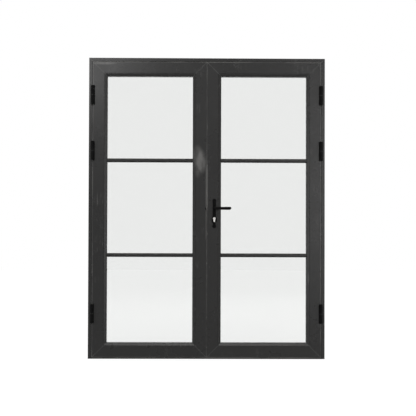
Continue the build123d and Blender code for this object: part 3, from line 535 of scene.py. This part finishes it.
def perforated_strip(name, colour, pitch=5.0 * MM, radius=0.6 * MM, middle_y=1.5 * MM):
    """Spacer bar: bare aluminium with a row of fine breathing holes at even pitch both ways; the holes are
    not cut but painted as dark dots of shade with a shallow bump.

    A point is in a hole where it is nearer than the radius to the middle of the bar and to the nearest row.
    """
    soft_rim, hole_depth = 1.5, 0.0004
    material, tree, shader = new_material(name)
    x, y, z = parts_of(tree, object_point(tree))
    across = apart(tree, y, middle_y)
    from_rows = [maths(tree, "PINGPONG", value, pitch / 2) for value in (x, z)]
    side = maths(tree, "MINIMUM", *from_rows)
    squares = maths(tree, "ADD", product(tree, across, across), product(tree, side, side))
    painted_hole = ramp(tree, maths(tree, "SQRT", squares), radius, radius * soft_rim, 1.0, 0.0)
    # Painted shade: each hole is a dark dot, not cut
    socket_value(shader, "Base Color", mix_colour(tree, painted_hole, colour, HOLE_SHADE_COLOUR))
    shader.inputs["Metallic"].default_value = 1.0
    shader.inputs["Roughness"].default_value = 0.35
    bump(tree, shader, maths(tree, "SUBTRACT", 1.0, painted_hole), hole_depth)
    return material


def make_materials(finish):
    """One material for each slot of the record, made by the slot's recipe."""
    coating, hardware, rubber, glass = (
        tuple(colour) for colour in (finish.coating, finish.hardware, finish.rubber, finish.glass))
    recipes = {
        "anthracite_coating": (skin, dict(
            colour=coating, roughness=finish.coating_roughness, grain_scale=700.0, grain_depth=0.00003,
            tone=0.25, mitres=0.5, gloss=0.25, rubs=0.85)),
        "black_hardware": (skin, dict(
            colour=hardware, roughness=0.46, grain_scale=1100.0, grain_depth=0.00003,
            dust=0.1, scratches=0.1, gloss=0.05)),
        "clear_glass": (clear_glass, dict(tint=glass)),
        "seal_rubber": (skin, dict(
            colour=rubber, roughness=0.62, grain_scale=900.0, grain_depth=0.00004, dust=0.4, scratches=0.0)),
        "seal_brush": (fibre_pile, dict(colour=(0.012, 0.012, 0.012))),
        "spacer_aluminium": (perforated_strip, dict(colour=(0.55, 0.55, 0.54))),
        "mill_aluminium": (drawn_metal, dict(
            colour=(0.62, 0.62, 0.61), roughness=0.42, along=(1.0, 0.05, 1.0))),
        "block_plastic": (skin, dict(
            colour=(0.05, 0.16, 0.30), roughness=0.5, grain_scale=500.0, grain_depth=0.00005, scratches=0.2)),
        "black_nylon": (skin, dict(
            colour=(0.012, 0.012, 0.012), roughness=0.45, grain_scale=800.0, grain_depth=0.00003,
            scratches=0.1)),
        "bright_steel": (drawn_metal, dict(
            colour=(0.66, 0.65, 0.63), roughness=0.24, along=(1.0, 1.0, 0.03))),
        "zinc_steel": (drawn_metal, dict(
            colour=(0.50, 0.50, 0.47), roughness=0.38, along=(1.0, 1.0, 0.2), scale=500.0)),
        "nickel_brass": (drawn_metal, dict(
            colour=(0.55, 0.54, 0.52), roughness=0.30, along=(0.05, 1.0, 1.0), scale=1500.0, scratches=0.1)),
    }
    return {slot: make(slot, **values) for slot, (make, values) in recipes.items()}


MATERIALS = {}


# Mesh helpers


def ring_faces(rings, spokes, closed=False):
    """Quads between rings of points, ring by ring; a closed shape joins its last ring to its first."""
    down = np.arange(rings if closed else rings - 1)
    ring, spoke = (values.ravel() for values in np.meshgrid(down, np.arange(spokes), indexing="ij"))
    here, below = ring * spokes, (ring + 1) % rings * spokes
    beside = (spoke + 1) % spokes
    return np.stack([here + spoke, here + beside, below + beside, below + spoke], axis=1)


def first_ring(spokes):
    """One face over the first ring of points, turned outward."""
    return np.arange(spokes)[None, ::-1]


def last_ring(rings, spokes):
    """One face over the last ring of points."""
    return (np.arange(spokes) + (rings - 1) * spokes)[None, :]


def mesh_object(name, points, faces, slot, body, sharp_angle=0.6):
    """Makes a mesh piece from points and a list of face arrays, with its finish and the body it rides.

    Edges that bend by more than the sharp angle, in radians, stay sharp.
    """
    mesh = bpy.data.meshes.new(name)
    counts = np.concatenate([np.full(len(block), block.shape[1]) for block in faces])
    corners = np.concatenate([block.ravel() for block in faces])
    starts = np.concatenate([[0], np.cumsum(counts)[:-1]])
    mesh.vertices.add(len(points))
    mesh.vertices.foreach_set("co", np.asarray(points, dtype=np.float32).ravel())
    mesh.loops.add(len(corners))
    mesh.loops.foreach_set("vertex_index", corners.astype(np.int32))
    mesh.polygons.add(len(counts))
    mesh.polygons.foreach_set("loop_start", starts.astype(np.int32))
    mesh.polygons.foreach_set("loop_total", counts.astype(np.int32))
    mesh.update(calc_edges=True)
    mesh.validate()
    piece = bpy.data.objects.new(name, mesh)
    bpy.context.scene.collection.objects.link(piece)
    mesh.materials.append(MATERIALS[slot])
    mesh.shade_smooth()
    mesh.set_sharp_from_angle(angle=sharp_angle)
    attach(piece, body)
    return piece


def ring_sweep(profile, centre, half):
    """Carries a closed profile of (inward, depth) round a rectangle with mitred corners.

    Each point is the corner of the rectangle pulled in by its inward distance, at its depth.
    """
    profile = np.asarray(profile)
    sign_x = np.array([-1.0, 1.0, 1.0, -1.0])[:, None]
    sign_z = np.array([-1.0, -1.0, 1.0, 1.0])[:, None]
    inward, depth = profile[:, 0][None, :], profile[:, 1][None, :]
    x = centre[0] + sign_x * (half[0] - inward)
    z = centre[1] + sign_z * (half[1] - inward)
    y = np.broadcast_to(depth, x.shape)
    return np.stack([x, y, z], axis=2).reshape(-1, 3), [ring_faces(4, len(profile), closed=True)]


def join_shapes(shapes):
    """Joins shapes, each of points and a list of face arrays, into one."""
    points, faces, start = [], [], 0
    for shape_points, shape_faces in shapes:
        points.append(shape_points)
        faces.extend(part + start for part in shape_faces)
        start += len(shape_points)
    return np.concatenate(points), faces


def front_outline(node):
    """The centre and half size, in x and z, of a node's box."""
    low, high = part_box(node)
    centre = ((low[0] + high[0]) / 2, (low[2] + high[2]) / 2)
    half = ((high[0] - low[0]) / 2, (high[2] - low[2]) / 2)
    return centre, half


# Pieces


def glazing_gasket(side, body):
    """Rolled lips of the two glazing gaskets: each a flat strip with a groove, ending in a round bead.

    The bead is a half circle of the gasket's thickness, fuller by the bulge away from the pane and flatter by
    it towards the pane.
    """
    low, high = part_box(f"{side}_glazing_gaskets")
    thickness, width, bulge = 3.0 * MM, 9.0 * MM, 0.2 * MM
    groove_place = np.array([4.6, 4.2, 3.8]) * MM
    groove_depth = np.array([0.0, 0.5, 0.0]) * MM
    turn = np.linspace(-np.pi / 2, np.pi / 2, 9)
    shapes = []
    for start, way in ((low[1], -1), (high[1] - thickness, 1)):
        middle = start + thickness / 2
        lift = thickness / 2 + way * bulge * np.sign(np.sin(turn))
        inward = width - thickness / 2 + np.cos(turn) * thickness / 2
        lip = np.stack([inward, middle + np.sin(turn) * lift], axis=1)
        groove = np.stack([groove_place, middle + thickness / 2 - groove_depth], axis=1)
        back = np.array([[0.0, middle + thickness / 2], [0.0, middle - thickness / 2]])
        profile = np.concatenate([lip, groove, back])
        shapes.append(ring_sweep(profile, *front_outline(f"{side}_glazing_gaskets")))
    points, faces = join_shapes(shapes)
    piece = mesh_object(f"{side}_gasket_lips", points, faces, "seal_rubber", body)
    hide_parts(f"{side}_glazing_gaskets")
    return piece


def stop_gasket():
    """Bulb seal on the stop behind the leaves: a flat foot with a half round bulb towards the leaf.

    The bulb is half an oval, as tall as the seal's depth without its foot.
    """
    low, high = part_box("frame_gasket")
    width, foot, bulb_half = 8.0 * MM, 1.2 * MM, 3.36 * MM
    foot_y = high[1] - foot
    reach = foot_y - low[1]
    turn = np.linspace(np.pi, 0, 13)
    bulb = np.stack([width / 2 + np.cos(turn) * bulb_half, foot_y - np.sin(turn) * reach], axis=1)
    profile = np.concatenate([[[0, high[1]], [0, foot_y]], bulb, [[width, foot_y], [width, high[1]]]])
    points, faces = ring_sweep(profile, *front_outline("frame_gasket"))
    piece = mesh_object("stop_bulb_seal", points, faces, "seal_rubber", "frame")
    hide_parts("frame_gasket")
    return piece


def tuft_rows(low, high, rows, pitch, seed):
    """Bristle tufts of a brush seal: five-sided bundles that thin out and lean a little at the tip.

    Each tuft is a ring of points at three heights; its radius falls with the height, and its lean grows
    with the square of the height.
    """
    rng = np.random.default_rng(seed)
    margin, foot, shorter, lean_spread = 0.9 * MM, 0.8 * MM, 0.3 * MM, 0.35 * MM
    sides = 5
    levels = np.array([0.0, 0.55, 1.0])
    radius = np.array([1.0, 0.85, 0.45]) * 0.62 * pitch
    flatness, stray = 0.75, 0.25 * pitch
    count = int((high[2] - low[2]) / pitch)
    base_z = low[2] + (np.arange(count) + 0.5) * (high[2] - low[2]) / count
    base_y = np.linspace(low[1] + margin, high[1] - margin, rows)
    z, y = (values.ravel() for values in np.meshgrid(base_z, base_y, indexing="ij"))
    z = z + rng.uniform(-stray, stray, z.size)
    lean = rng.normal(0.0, lean_spread, (z.size, 2))
    reach = (high[0] - low[0]) - foot - rng.uniform(0, shorter, z.size)
    turn = np.linspace(0, 2 * np.pi, sides, endpoint=False)
    x = low[0] + foot + reach[:, None, None] * levels[:, None] + np.zeros(sides)
    ring_y = radius[:, None] * np.cos(turn) * flatness
    ring_z = radius[:, None] * np.sin(turn)
    bend = (levels ** 2)[:, None]
    tuft_y = np.clip(y[:, None, None] + lean[:, 0, None, None] * bend + ring_y, low[1], high[1])
    tuft_z = np.clip(z[:, None, None] + lean[:, 1, None, None] * bend + ring_z, low[2], high[2])
    points = np.stack([x, tuft_y, tuft_z], axis=3).reshape(-1, 3)
    walls = ring_faces(len(levels), sides)[:, ::-1]
    tip = last_ring(len(levels), sides)
    starts = (np.arange(z.size) * len(levels) * sides)[:, None, None]
    return points, [(walls + starts).reshape(-1, 4), (tip + starts).reshape(-1, sides)]


def box_shape(low, high):
    """The eight corners and six sides of a bar between two corners."""
    spans = list(zip(low, high))
    corners = np.array([[x, y, z] for x in spans[0] for y in spans[1] for z in spans[2]])
    sides = np.array([[0, 1, 3, 2], [4, 6, 7, 5], [0, 4, 5, 1], [2, 3, 7, 6], [0, 2, 6, 4], [1, 5, 7, 3]])
    return corners, [sides]


def brush_seal():
    """Brush pile in the meeting gap, on a thin carrier strip."""
    low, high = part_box("meeting_seal")
    strip_thickness = 0.9 * MM
    tufts = tuft_rows(low, high, rows=3, pitch=2.4 * MM, seed=11)
    strip = box_shape(low, (low[0] + strip_thickness, high[1], high[2]))
    points, faces = join_shapes([tufts, strip])
    piece = mesh_object("meeting_brush", points, faces, "seal_brush", "left_leaf")
    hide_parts("meeting_seal")
    return piece


def latch_shade_pad():
    """A small black dome of painted shade on the passive leaf's lip at lever height, standing in for the
    shade at the latch: a flat dome, oval in front view.

    Rings shrink from the rim to the crown while the depth rises by a quarter circle; each ring is an oval.
    """
    spokes, rings = 24, 5
    centre_x, centre_z = -6.4 * MM, 1047.0 * MM
    half_wide, half_high, rise = 5.4 * MM, 8.0 * MM, 0.9 * MM
    turn = np.linspace(0, 2 * np.pi, spokes, endpoint=False)
    bend = np.linspace(0, 0.47 * np.pi, rings)[:, None]
    x = centre_x + half_wide * np.cos(bend) * np.cos(turn)
    z = centre_z + half_high * np.cos(bend) * np.sin(turn)
    y = LEAF_FRONT_Y - rise * np.sin(bend) + np.zeros_like(x)
    points = np.stack([x, y, z], axis=2).reshape(-1, 3)
    walls = ring_faces(rings, spokes)
    # Painted shade: a black dome that stands in for the shade at the latch
    return mesh_object("latch_shade_pad", points, [walls, last_ring(rings, spokes), first_ring(spokes)],
                       "black_hardware", "left_leaf", sharp_angle=0.9)


def turned(profile, place, facing, spokes, recess=None, ring=False):
    """Turns a profile of (radius, height) about an axis through a place; a recess reshapes it by angle.

    Each point is the axis point plus the radius times the two cross directions, plus the height along the
    axis. A ring's profile closes on itself; any other shape is capped at both ends.
    """
    profile = np.asarray(profile, dtype=float)
    facing = np.asarray(facing, dtype=float)
    first = np.cross(facing, [0.0, 0.0, 1.0] if abs(facing[2]) < 0.5 else [1.0, 0.0, 0.0])
    first /= np.linalg.norm(first)
    second = np.cross(facing, first)
    turn = np.linspace(0, 2 * np.pi, spokes, endpoint=False)
    radius = np.repeat(profile[:, :1], spokes, axis=1)
    height = np.repeat(profile[:, 1:], spokes, axis=1)
    if recess is not None:
        radius, height = recess(radius, height, turn)
    points = (np.asarray(place) + (radius * np.cos(turn))[..., None] * first
              + (radius * np.sin(turn))[..., None] * second + height[..., None] * facing)
    faces = [ring_faces(len(profile), spokes, closed=ring)]
    if not ring:
        faces += [first_ring(spokes), last_ring(len(profile), spokes)]
    return points.reshape(-1, 3), faces


def cross_recess(radius, height, turn):
    """Presses a cross into a screw head: deeper within two bars at right angles, and near the middle.

    Sizes are shares of the head's radius.
    """
    arm_edge, arm_slope, arm_end, end_slope, depth = 0.17, 0.06, 0.62, 0.15, 0.34
    largest = radius.max()
    from_arm = np.minimum(np.abs(radius * np.cos(turn)), np.abs(radius * np.sin(turn)))
    in_arm = np.clip((arm_edge * largest - from_arm) / (arm_slope * largest), 0, 1)
    in_reach = np.clip((arm_end * largest - radius) / (end_slope * largest), 0, 1)
    return radius, np.where(height > 0, height - in_arm * in_reach * largest * depth, height)


def hex_recess(radius, height, turn):
    """Makes the inner wall of a socket six-sided: its radius grows towards each corner of the hexagon."""
    wall_limit = 0.45
    corner = np.mod(turn, np.pi / 3) - np.pi / 6
    inner = radius < wall_limit * radius.max()
    return np.where(inner, radius / np.cos(corner), radius), height


def screw_head(place, facing, radius, rise=0.35 * MM):
    """A countersunk head: a shallow dome with a cross recess on a short skirt.

    The dome falls with the square of the distance from its middle, by a share of its rise at the rim.
    """
    rim_fall = 0.55
    share = np.linspace(1.0, 0.02, 15)
    dome = np.stack([share * radius, rise * (1 - rim_fall * share ** 2)], axis=1)
    skirt = np.array([[radius * 0.9, -1.2 * MM], [radius, -0.05 * MM]])
    return turned(np.concatenate([skirt, dome]), place, facing, 48, cross_recess)


def socket_cap(place, facing, radius, rise):
    """A domed hinge cap with a hexagon socket in its middle.

    Its profile runs from the rim over the dome and down the socket's wall to its floor.
    """
    profile = np.array([
        [radius, -0.6 * MM], [radius, rise * 0.35], [radius * 0.93, rise * 0.8], [radius * 0.7, rise],
        [radius * 0.34, rise], [radius * 0.31, rise * 0.85], [radius * 0.31, -0.4 * MM],
        [radius * 0.02, -0.45 * MM]])
    return turned(profile, place, facing, 36, hex_recess)


def handle_screws():
    """The two plate screws, with their shanks."""
    low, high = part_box("handle_screws")
    radius = (high[0] - low[0]) / 2
    x, head_y = (low[0] + high[0]) / 2, low[1] + 0.3 * MM
    shank = np.array([[2.4 * MM, -(high[1] - low[1])], [2.5 * MM, -2.6 * MM], [radius, -0.2 * MM]])
    shapes = []
    for z in (low[2] + radius, high[2] - radius):
        shapes.append(screw_head((x, head_y, z), (0, -1, 0), radius, 0.3 * MM))
        shapes.append(turned(shank, (x, head_y, z), (0, -1, 0), 24))
    points, faces = join_shapes(shapes)
    piece = mesh_object("handle_plate_screws", points, faces, "black_hardware", "right_leaf",
                        sharp_angle=0.8)
    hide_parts("handle_screws")
    return piece


def plate_screws():
    """Countersunk screws of the faceplate, strike plate, bolt guides and keeps."""
    face_low, face_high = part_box("lock_faceplate")
    strike_low, strike_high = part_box("strike_plate")
    guide_low, guide_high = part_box("flush_bolt_guides")
    keep_low, keep_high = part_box("flush_bolt_keeps")
    middle_y = (face_low[1] + face_high[1]) / 2
    keep_x = (keep_low[0] + keep_high[0]) / 2
    face_margin, strike_margin, keep_offset, keep_thickness = 7 * MM, 8 * MM, 14 * MM, 2 * MM
    guide_margins = (7 * MM, 113 * MM)

    face_levels = (face_low[2] + face_margin, face_high[2] - face_margin)
    passive_levels = [strike_low[2] + strike_margin, strike_high[2] - strike_margin]
    passive_levels += [guide_low[2] + margin for margin in guide_margins]
    passive_levels += [guide_high[2] - margin for margin in reversed(guide_margins)]
    keep_faces = ((keep_low[2] + keep_thickness, 1), (keep_high[2] - keep_thickness, -1))

    heads = {
        ("faceplate_screws", "right_leaf"): [
            screw_head((face_low[0], middle_y, z), (-1, 0, 0), 3.6 * MM) for z in face_levels],
        ("passive_edge_screws", "left_leaf"): [
            screw_head((strike_high[0], middle_y, z), (1, 0, 0), 3.4 * MM) for z in passive_levels],
        ("keep_screws", "frame"): [
            screw_head((keep_x + offset, middle_y, z), (0, 0, way), 3.0 * MM, 0.25 * MM)
            for z, way in keep_faces for offset in (-keep_offset, keep_offset)],
    }
    for (name, body), shapes in heads.items():
        points, faces = join_shapes(shapes)
        mesh_object(name, points, faces, "bright_steel", body, sharp_angle=0.8)


def hinge_caps():
    """Caps on both ends of each barrel; the upper ones ride on the leaf and the lower ones on the frame."""
    barrel_radius, cap_radius, cap_rise = 13.0 * MM, 9.2 * MM, 1.1 * MM
    for side in ("left", "right"):
        for body, part, end in ((f"{side}_leaf", "leaf", 1), ("frame", "frame", 0)):
            shapes = []
            for level in ("bottom", "middle", "top"):
                low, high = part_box(f"{side}_hinge_{level}_{part}_knuckle")
                place = ((low[0] + high[0]) / 2, low[1] + barrel_radius, (low, high)[end][2])
                shapes.append(socket_cap(place, (0, 0, 1 if end else -1), cap_radius, cap_rise))
            points, faces = join_shapes(shapes)
            mesh_object(f"{side}_hinge_caps_{part}", points, faces, "black_nylon", body, sharp_angle=0.7)


def cylinder_collars():
    """A thin raised collar round the key plug on both faces of the lock cylinder."""
    low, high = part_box("lock_cylinder")
    barrel_radius = 8.5 * MM
    x = (low[0] + high[0]) / 2
    z = high[2] - barrel_radius
    faces_y = ((low[1], -1), (high[1], 1))
    profile = np.array([[6.6, -0.2], [6.6, 0.25], [6.9, 0.38], [7.5, 0.38], [7.8, 0.2], [7.8, -0.2]]) * MM
    shapes = [turned(profile, (x, y, z), (0, way, 0), 48, ring=True) for y, way in faces_y]
    points, faces = join_shapes(shapes)
    return mesh_object("cylinder_collars", points, faces, "nickel_brass", "right_leaf", sharp_angle=0.7)


# Operators


class DOOR_OT_coat_frame(bpy.types.Operator):
    """Gives every carried-over solid the material of its slot"""
    bl_idname = "door.coat_frame"
    bl_label = "Coat the solids"

    def execute(self, context):
        MATERIALS.update(make_materials(context.scene.door_finish))
        record = frame["record"]
        slots = {part["node"]: part["material_slot"] for part in record["subparts"]}
        for name, node in frame["nodes"].items():
            node.data.materials.clear()
            node.data.materials.append(MATERIALS[slots[name]])
        return {"FINISHED"}


class DOOR_OT_gaskets(bpy.types.Operator):
    """Adds the rolled glazing gaskets and the bulb seal behind the leaves"""
    bl_idname = "door.gaskets"
    bl_label = "Gaskets"

    def execute(self, context):
        glazing_gasket("left", "left_leaf")
        glazing_gasket("right", "right_leaf")
        stop_gasket()
        return {"FINISHED"}


class DOOR_OT_brush(bpy.types.Operator):
    """Adds the brush seal of the meeting gap"""
    bl_idname = "door.brush"
    bl_label = "Brush seal"

    def execute(self, context):
        brush_seal()
        return {"FINISHED"}


class DOOR_OT_latch_shade_pad(bpy.types.Operator):
    """Adds the small black dome on the passive leaf that stands in for the shade at the latch"""
    bl_idname = "door.edge_buffer"
    bl_label = "Latch shade pad"

    def execute(self, context):
        latch_shade_pad()
        return {"FINISHED"}


class DOOR_OT_screws(bpy.types.Operator):
    """Adds the screws of the handle plates and edge plates"""
    bl_idname = "door.screws"
    bl_label = "Screws"

    def execute(self, context):
        handle_screws()
        plate_screws()
        return {"FINISHED"}


class DOOR_OT_hinge_caps(bpy.types.Operator):
    """Adds the caps of the hinge barrels"""
    bl_idname = "door.hinge_caps"
    bl_label = "Hinge caps"

    def execute(self, context):
        hinge_caps()
        return {"FINISHED"}


class DOOR_OT_collars(bpy.types.Operator):
    """Adds the collars round the key plug"""
    bl_idname = "door.collars"
    bl_label = "Cylinder collars"

    def execute(self, context):
        cylinder_collars()
        return {"FINISHED"}


class DOOR_OT_stage(bpy.types.Operator):
    """Sets up the floor, the lights, the sky and the camera"""
    bl_idname = "door.stage"
    bl_label = "Stage"

    def execute(self, context):
        settings = context.scene.door_stage
        make_floor()
        make_sky(settings.day_level)
        make_lamps()
        make_camera(settings)
        return {"FINISHED"}


def make_floor():
    """A flat disc of floor: rings of points whose radius grows with the square of the ring's number.

    It glows white where it is seen, mirrored or looked at through glass, and its own colour is grey, so
    that the object's shadow shows on it.
    """
    rings, spokes, reach, drop = 24, 64, 14.0, 0.5 * MM
    radius = reach * (np.arange(1, rings + 1) / rings) ** 2
    turn = np.linspace(0, 2 * np.pi, spokes, endpoint=False)
    x = radius[:, None] * np.cos(turn)
    y = radius[:, None] * np.sin(turn)
    points = np.stack([x, y, np.full_like(x, -drop)], axis=2).reshape(-1, 3)
    walls = ring_faces(rings, spokes)[:, ::-1]
    mesh = bpy.data.meshes.new("floor")
    mesh.from_pydata(points.tolist(), [], walls.tolist() + first_ring(spokes).tolist())
    floor = bpy.data.objects.new("floor", mesh)
    bpy.context.scene.collection.objects.link(floor)
    glow, dark, pale = 0.88, (0.17, 0.17, 0.17), (0.19, 0.19, 0.19)
    material, tree, shader = new_material("pale_floor")
    cloud = noise(tree, object_point(tree), 3.0, 3.0)
    socket_value(shader, "Base Color", mix_colour(tree, cloud, dark, pale))
    shader.inputs["Roughness"].default_value = 0.9
    shader.inputs["Specular IOR Level"].default_value = 0.1
    shader.inputs["Emission Color"].default_value = (1, 1, 1, 1)
    socket_value(shader, "Emission Strength", product(tree, shown_rays(tree), glow))
    mesh.materials.append(material)
    return floor


def shown_rays(tree):
    """1 for rays that show the background: camera, glossy and transmission rays."""
    path = add_node(tree, "LightPath").outputs
    seen = maths(tree, "MAXIMUM", path["Is Camera Ray"], path["Is Transmission Ray"])
    return maths(tree, "MAXIMUM", seen, path["Is Glossy Ray"])


def make_sky(level):
    """White where the sky is seen, mirrored or looked at through glass, and its level for soft light."""
    world = bpy.data.worlds.new("studio")
    bpy.context.scene.world = world
    world.use_nodes = True
    tree = world.node_tree
    background = next(node for node in tree.nodes if node.type == "BACKGROUND")
    background.inputs["Color"].default_value = (1, 1, 1, 1)
    socket_value(background, "Strength", mix_value(tree, shown_rays(tree), level, 1.0))


# Each lamp: its name, place, target, width and height in metres, and the brightness of its face
LAMPS = (
    ("key", (-1.70, -6.3, 3.36), (-0.85, 0, 2.1), (0.8, 0.8), 27.0),
    ("fill", (1.74, -6.3, 1.62), (0.85, 0, 1.3), (0.6, 3.0), 6.0),
    ("strip_right", (4.0, -3.3, 1.1), (-0.4, 0, 1.1), (0.8, 2.6), 7.5),
    ("strip_left", (-4.0, -3.3, 1.1), (0.4, 0, 1.1), (0.8, 2.6), 7.5),
    ("strip_above", (0, -2.6, 4.3), (0, 0, 0.3), (3.0, 0.8), 6.0),
    ("rear", (0.9, 5.0, 4.2), (0, 0, 1.0), (2.6, 2.0), 4.0),
)


def make_lamps():
    """Soft rectangular lamps: a key, a fill, three strips that graze beads and edges, and one behind.

    The power of each is its brightness times pi times its area. The camera doesn't see them, nor does it
    through glass.
    """
    for name, place, target, (width, height), brightness in LAMPS:
        data = bpy.data.lights.new(name, "AREA")
        data.shape = "RECTANGLE"
        data.size, data.size_y = width, height
        data.energy = brightness * math.pi * width * height
        lamp = bpy.data.objects.new(name, data)
        lamp.location = place
        lamp.rotation_euler = (Vector(target) - Vector(place)).to_track_quat("-Z", "Y").to_euler()
        lamp.visible_camera = False
        lamp.visible_transmission = False
        bpy.context.scene.collection.objects.link(lamp)


def make_camera(settings):
    """A camera at the photograph's angle, almost square on at mid height."""
    data = bpy.data.cameras.new("camera")
    data.sensor_width = 36.0
    data.lens = settings.focal_length
    data.clip_end = 100.0
    camera = bpy.data.objects.new("camera", data)
    pitch, roll, yaw = settings.camera_turn
    level = Euler((math.pi / 2 + pitch, 0.0, yaw), "XYZ").to_matrix()
    tilt = Euler((0.0, 0.0, roll), "XYZ").to_matrix()
    camera.location = settings.camera_place
    camera.rotation_euler = (level @ tilt).to_euler()
    bpy.context.scene.collection.objects.link(camera)
    bpy.context.scene.camera = camera


class DOOR_PT_panel(bpy.types.Panel):
    """Lists the door's settings and the steps that build it"""
    bl_label = "Aluminium double door"
    bl_idname = "DOOR_PT_panel"
    bl_space_type = "VIEW_3D"
    bl_region_type = "UI"
    bl_category = "Door"

    def draw(self, context):
        layout = self.layout
        for settings in (context.scene.door_finish, context.scene.door_stage):
            for name in settings.bl_rna.properties.keys():
                if name not in ("rna_type", "name"):
                    layout.prop(settings, name)
        for operator in OPERATORS:
            layout.operator(operator.bl_idname)


OPERATORS = (DOOR_OT_coat_frame, DOOR_OT_gaskets, DOOR_OT_brush, DOOR_OT_latch_shade_pad, DOOR_OT_screws,
             DOOR_OT_hinge_caps, DOOR_OT_collars, DOOR_OT_stage)
CLASSES = (DoorFinish, DoorStage, *OPERATORS, DOOR_PT_panel)


def register():
    for item in CLASSES:
        bpy.utils.register_class(item)
    bpy.types.Scene.door_finish = PointerProperty(type=DoorFinish)
    bpy.types.Scene.door_stage = PointerProperty(type=DoorStage)


def unregister():
    del bpy.types.Scene.door_stage
    del bpy.types.Scene.door_finish
    for item in reversed(CLASSES):
        bpy.utils.unregister_class(item)


def main():
    register()
    bpy.context.scene.view_settings.view_transform = "Standard"
    for operator in OPERATORS:
        group, name = operator.bl_idname.split(".")
        getattr(getattr(bpy.ops, group), name)()


if __name__ == "__main__":
    main()
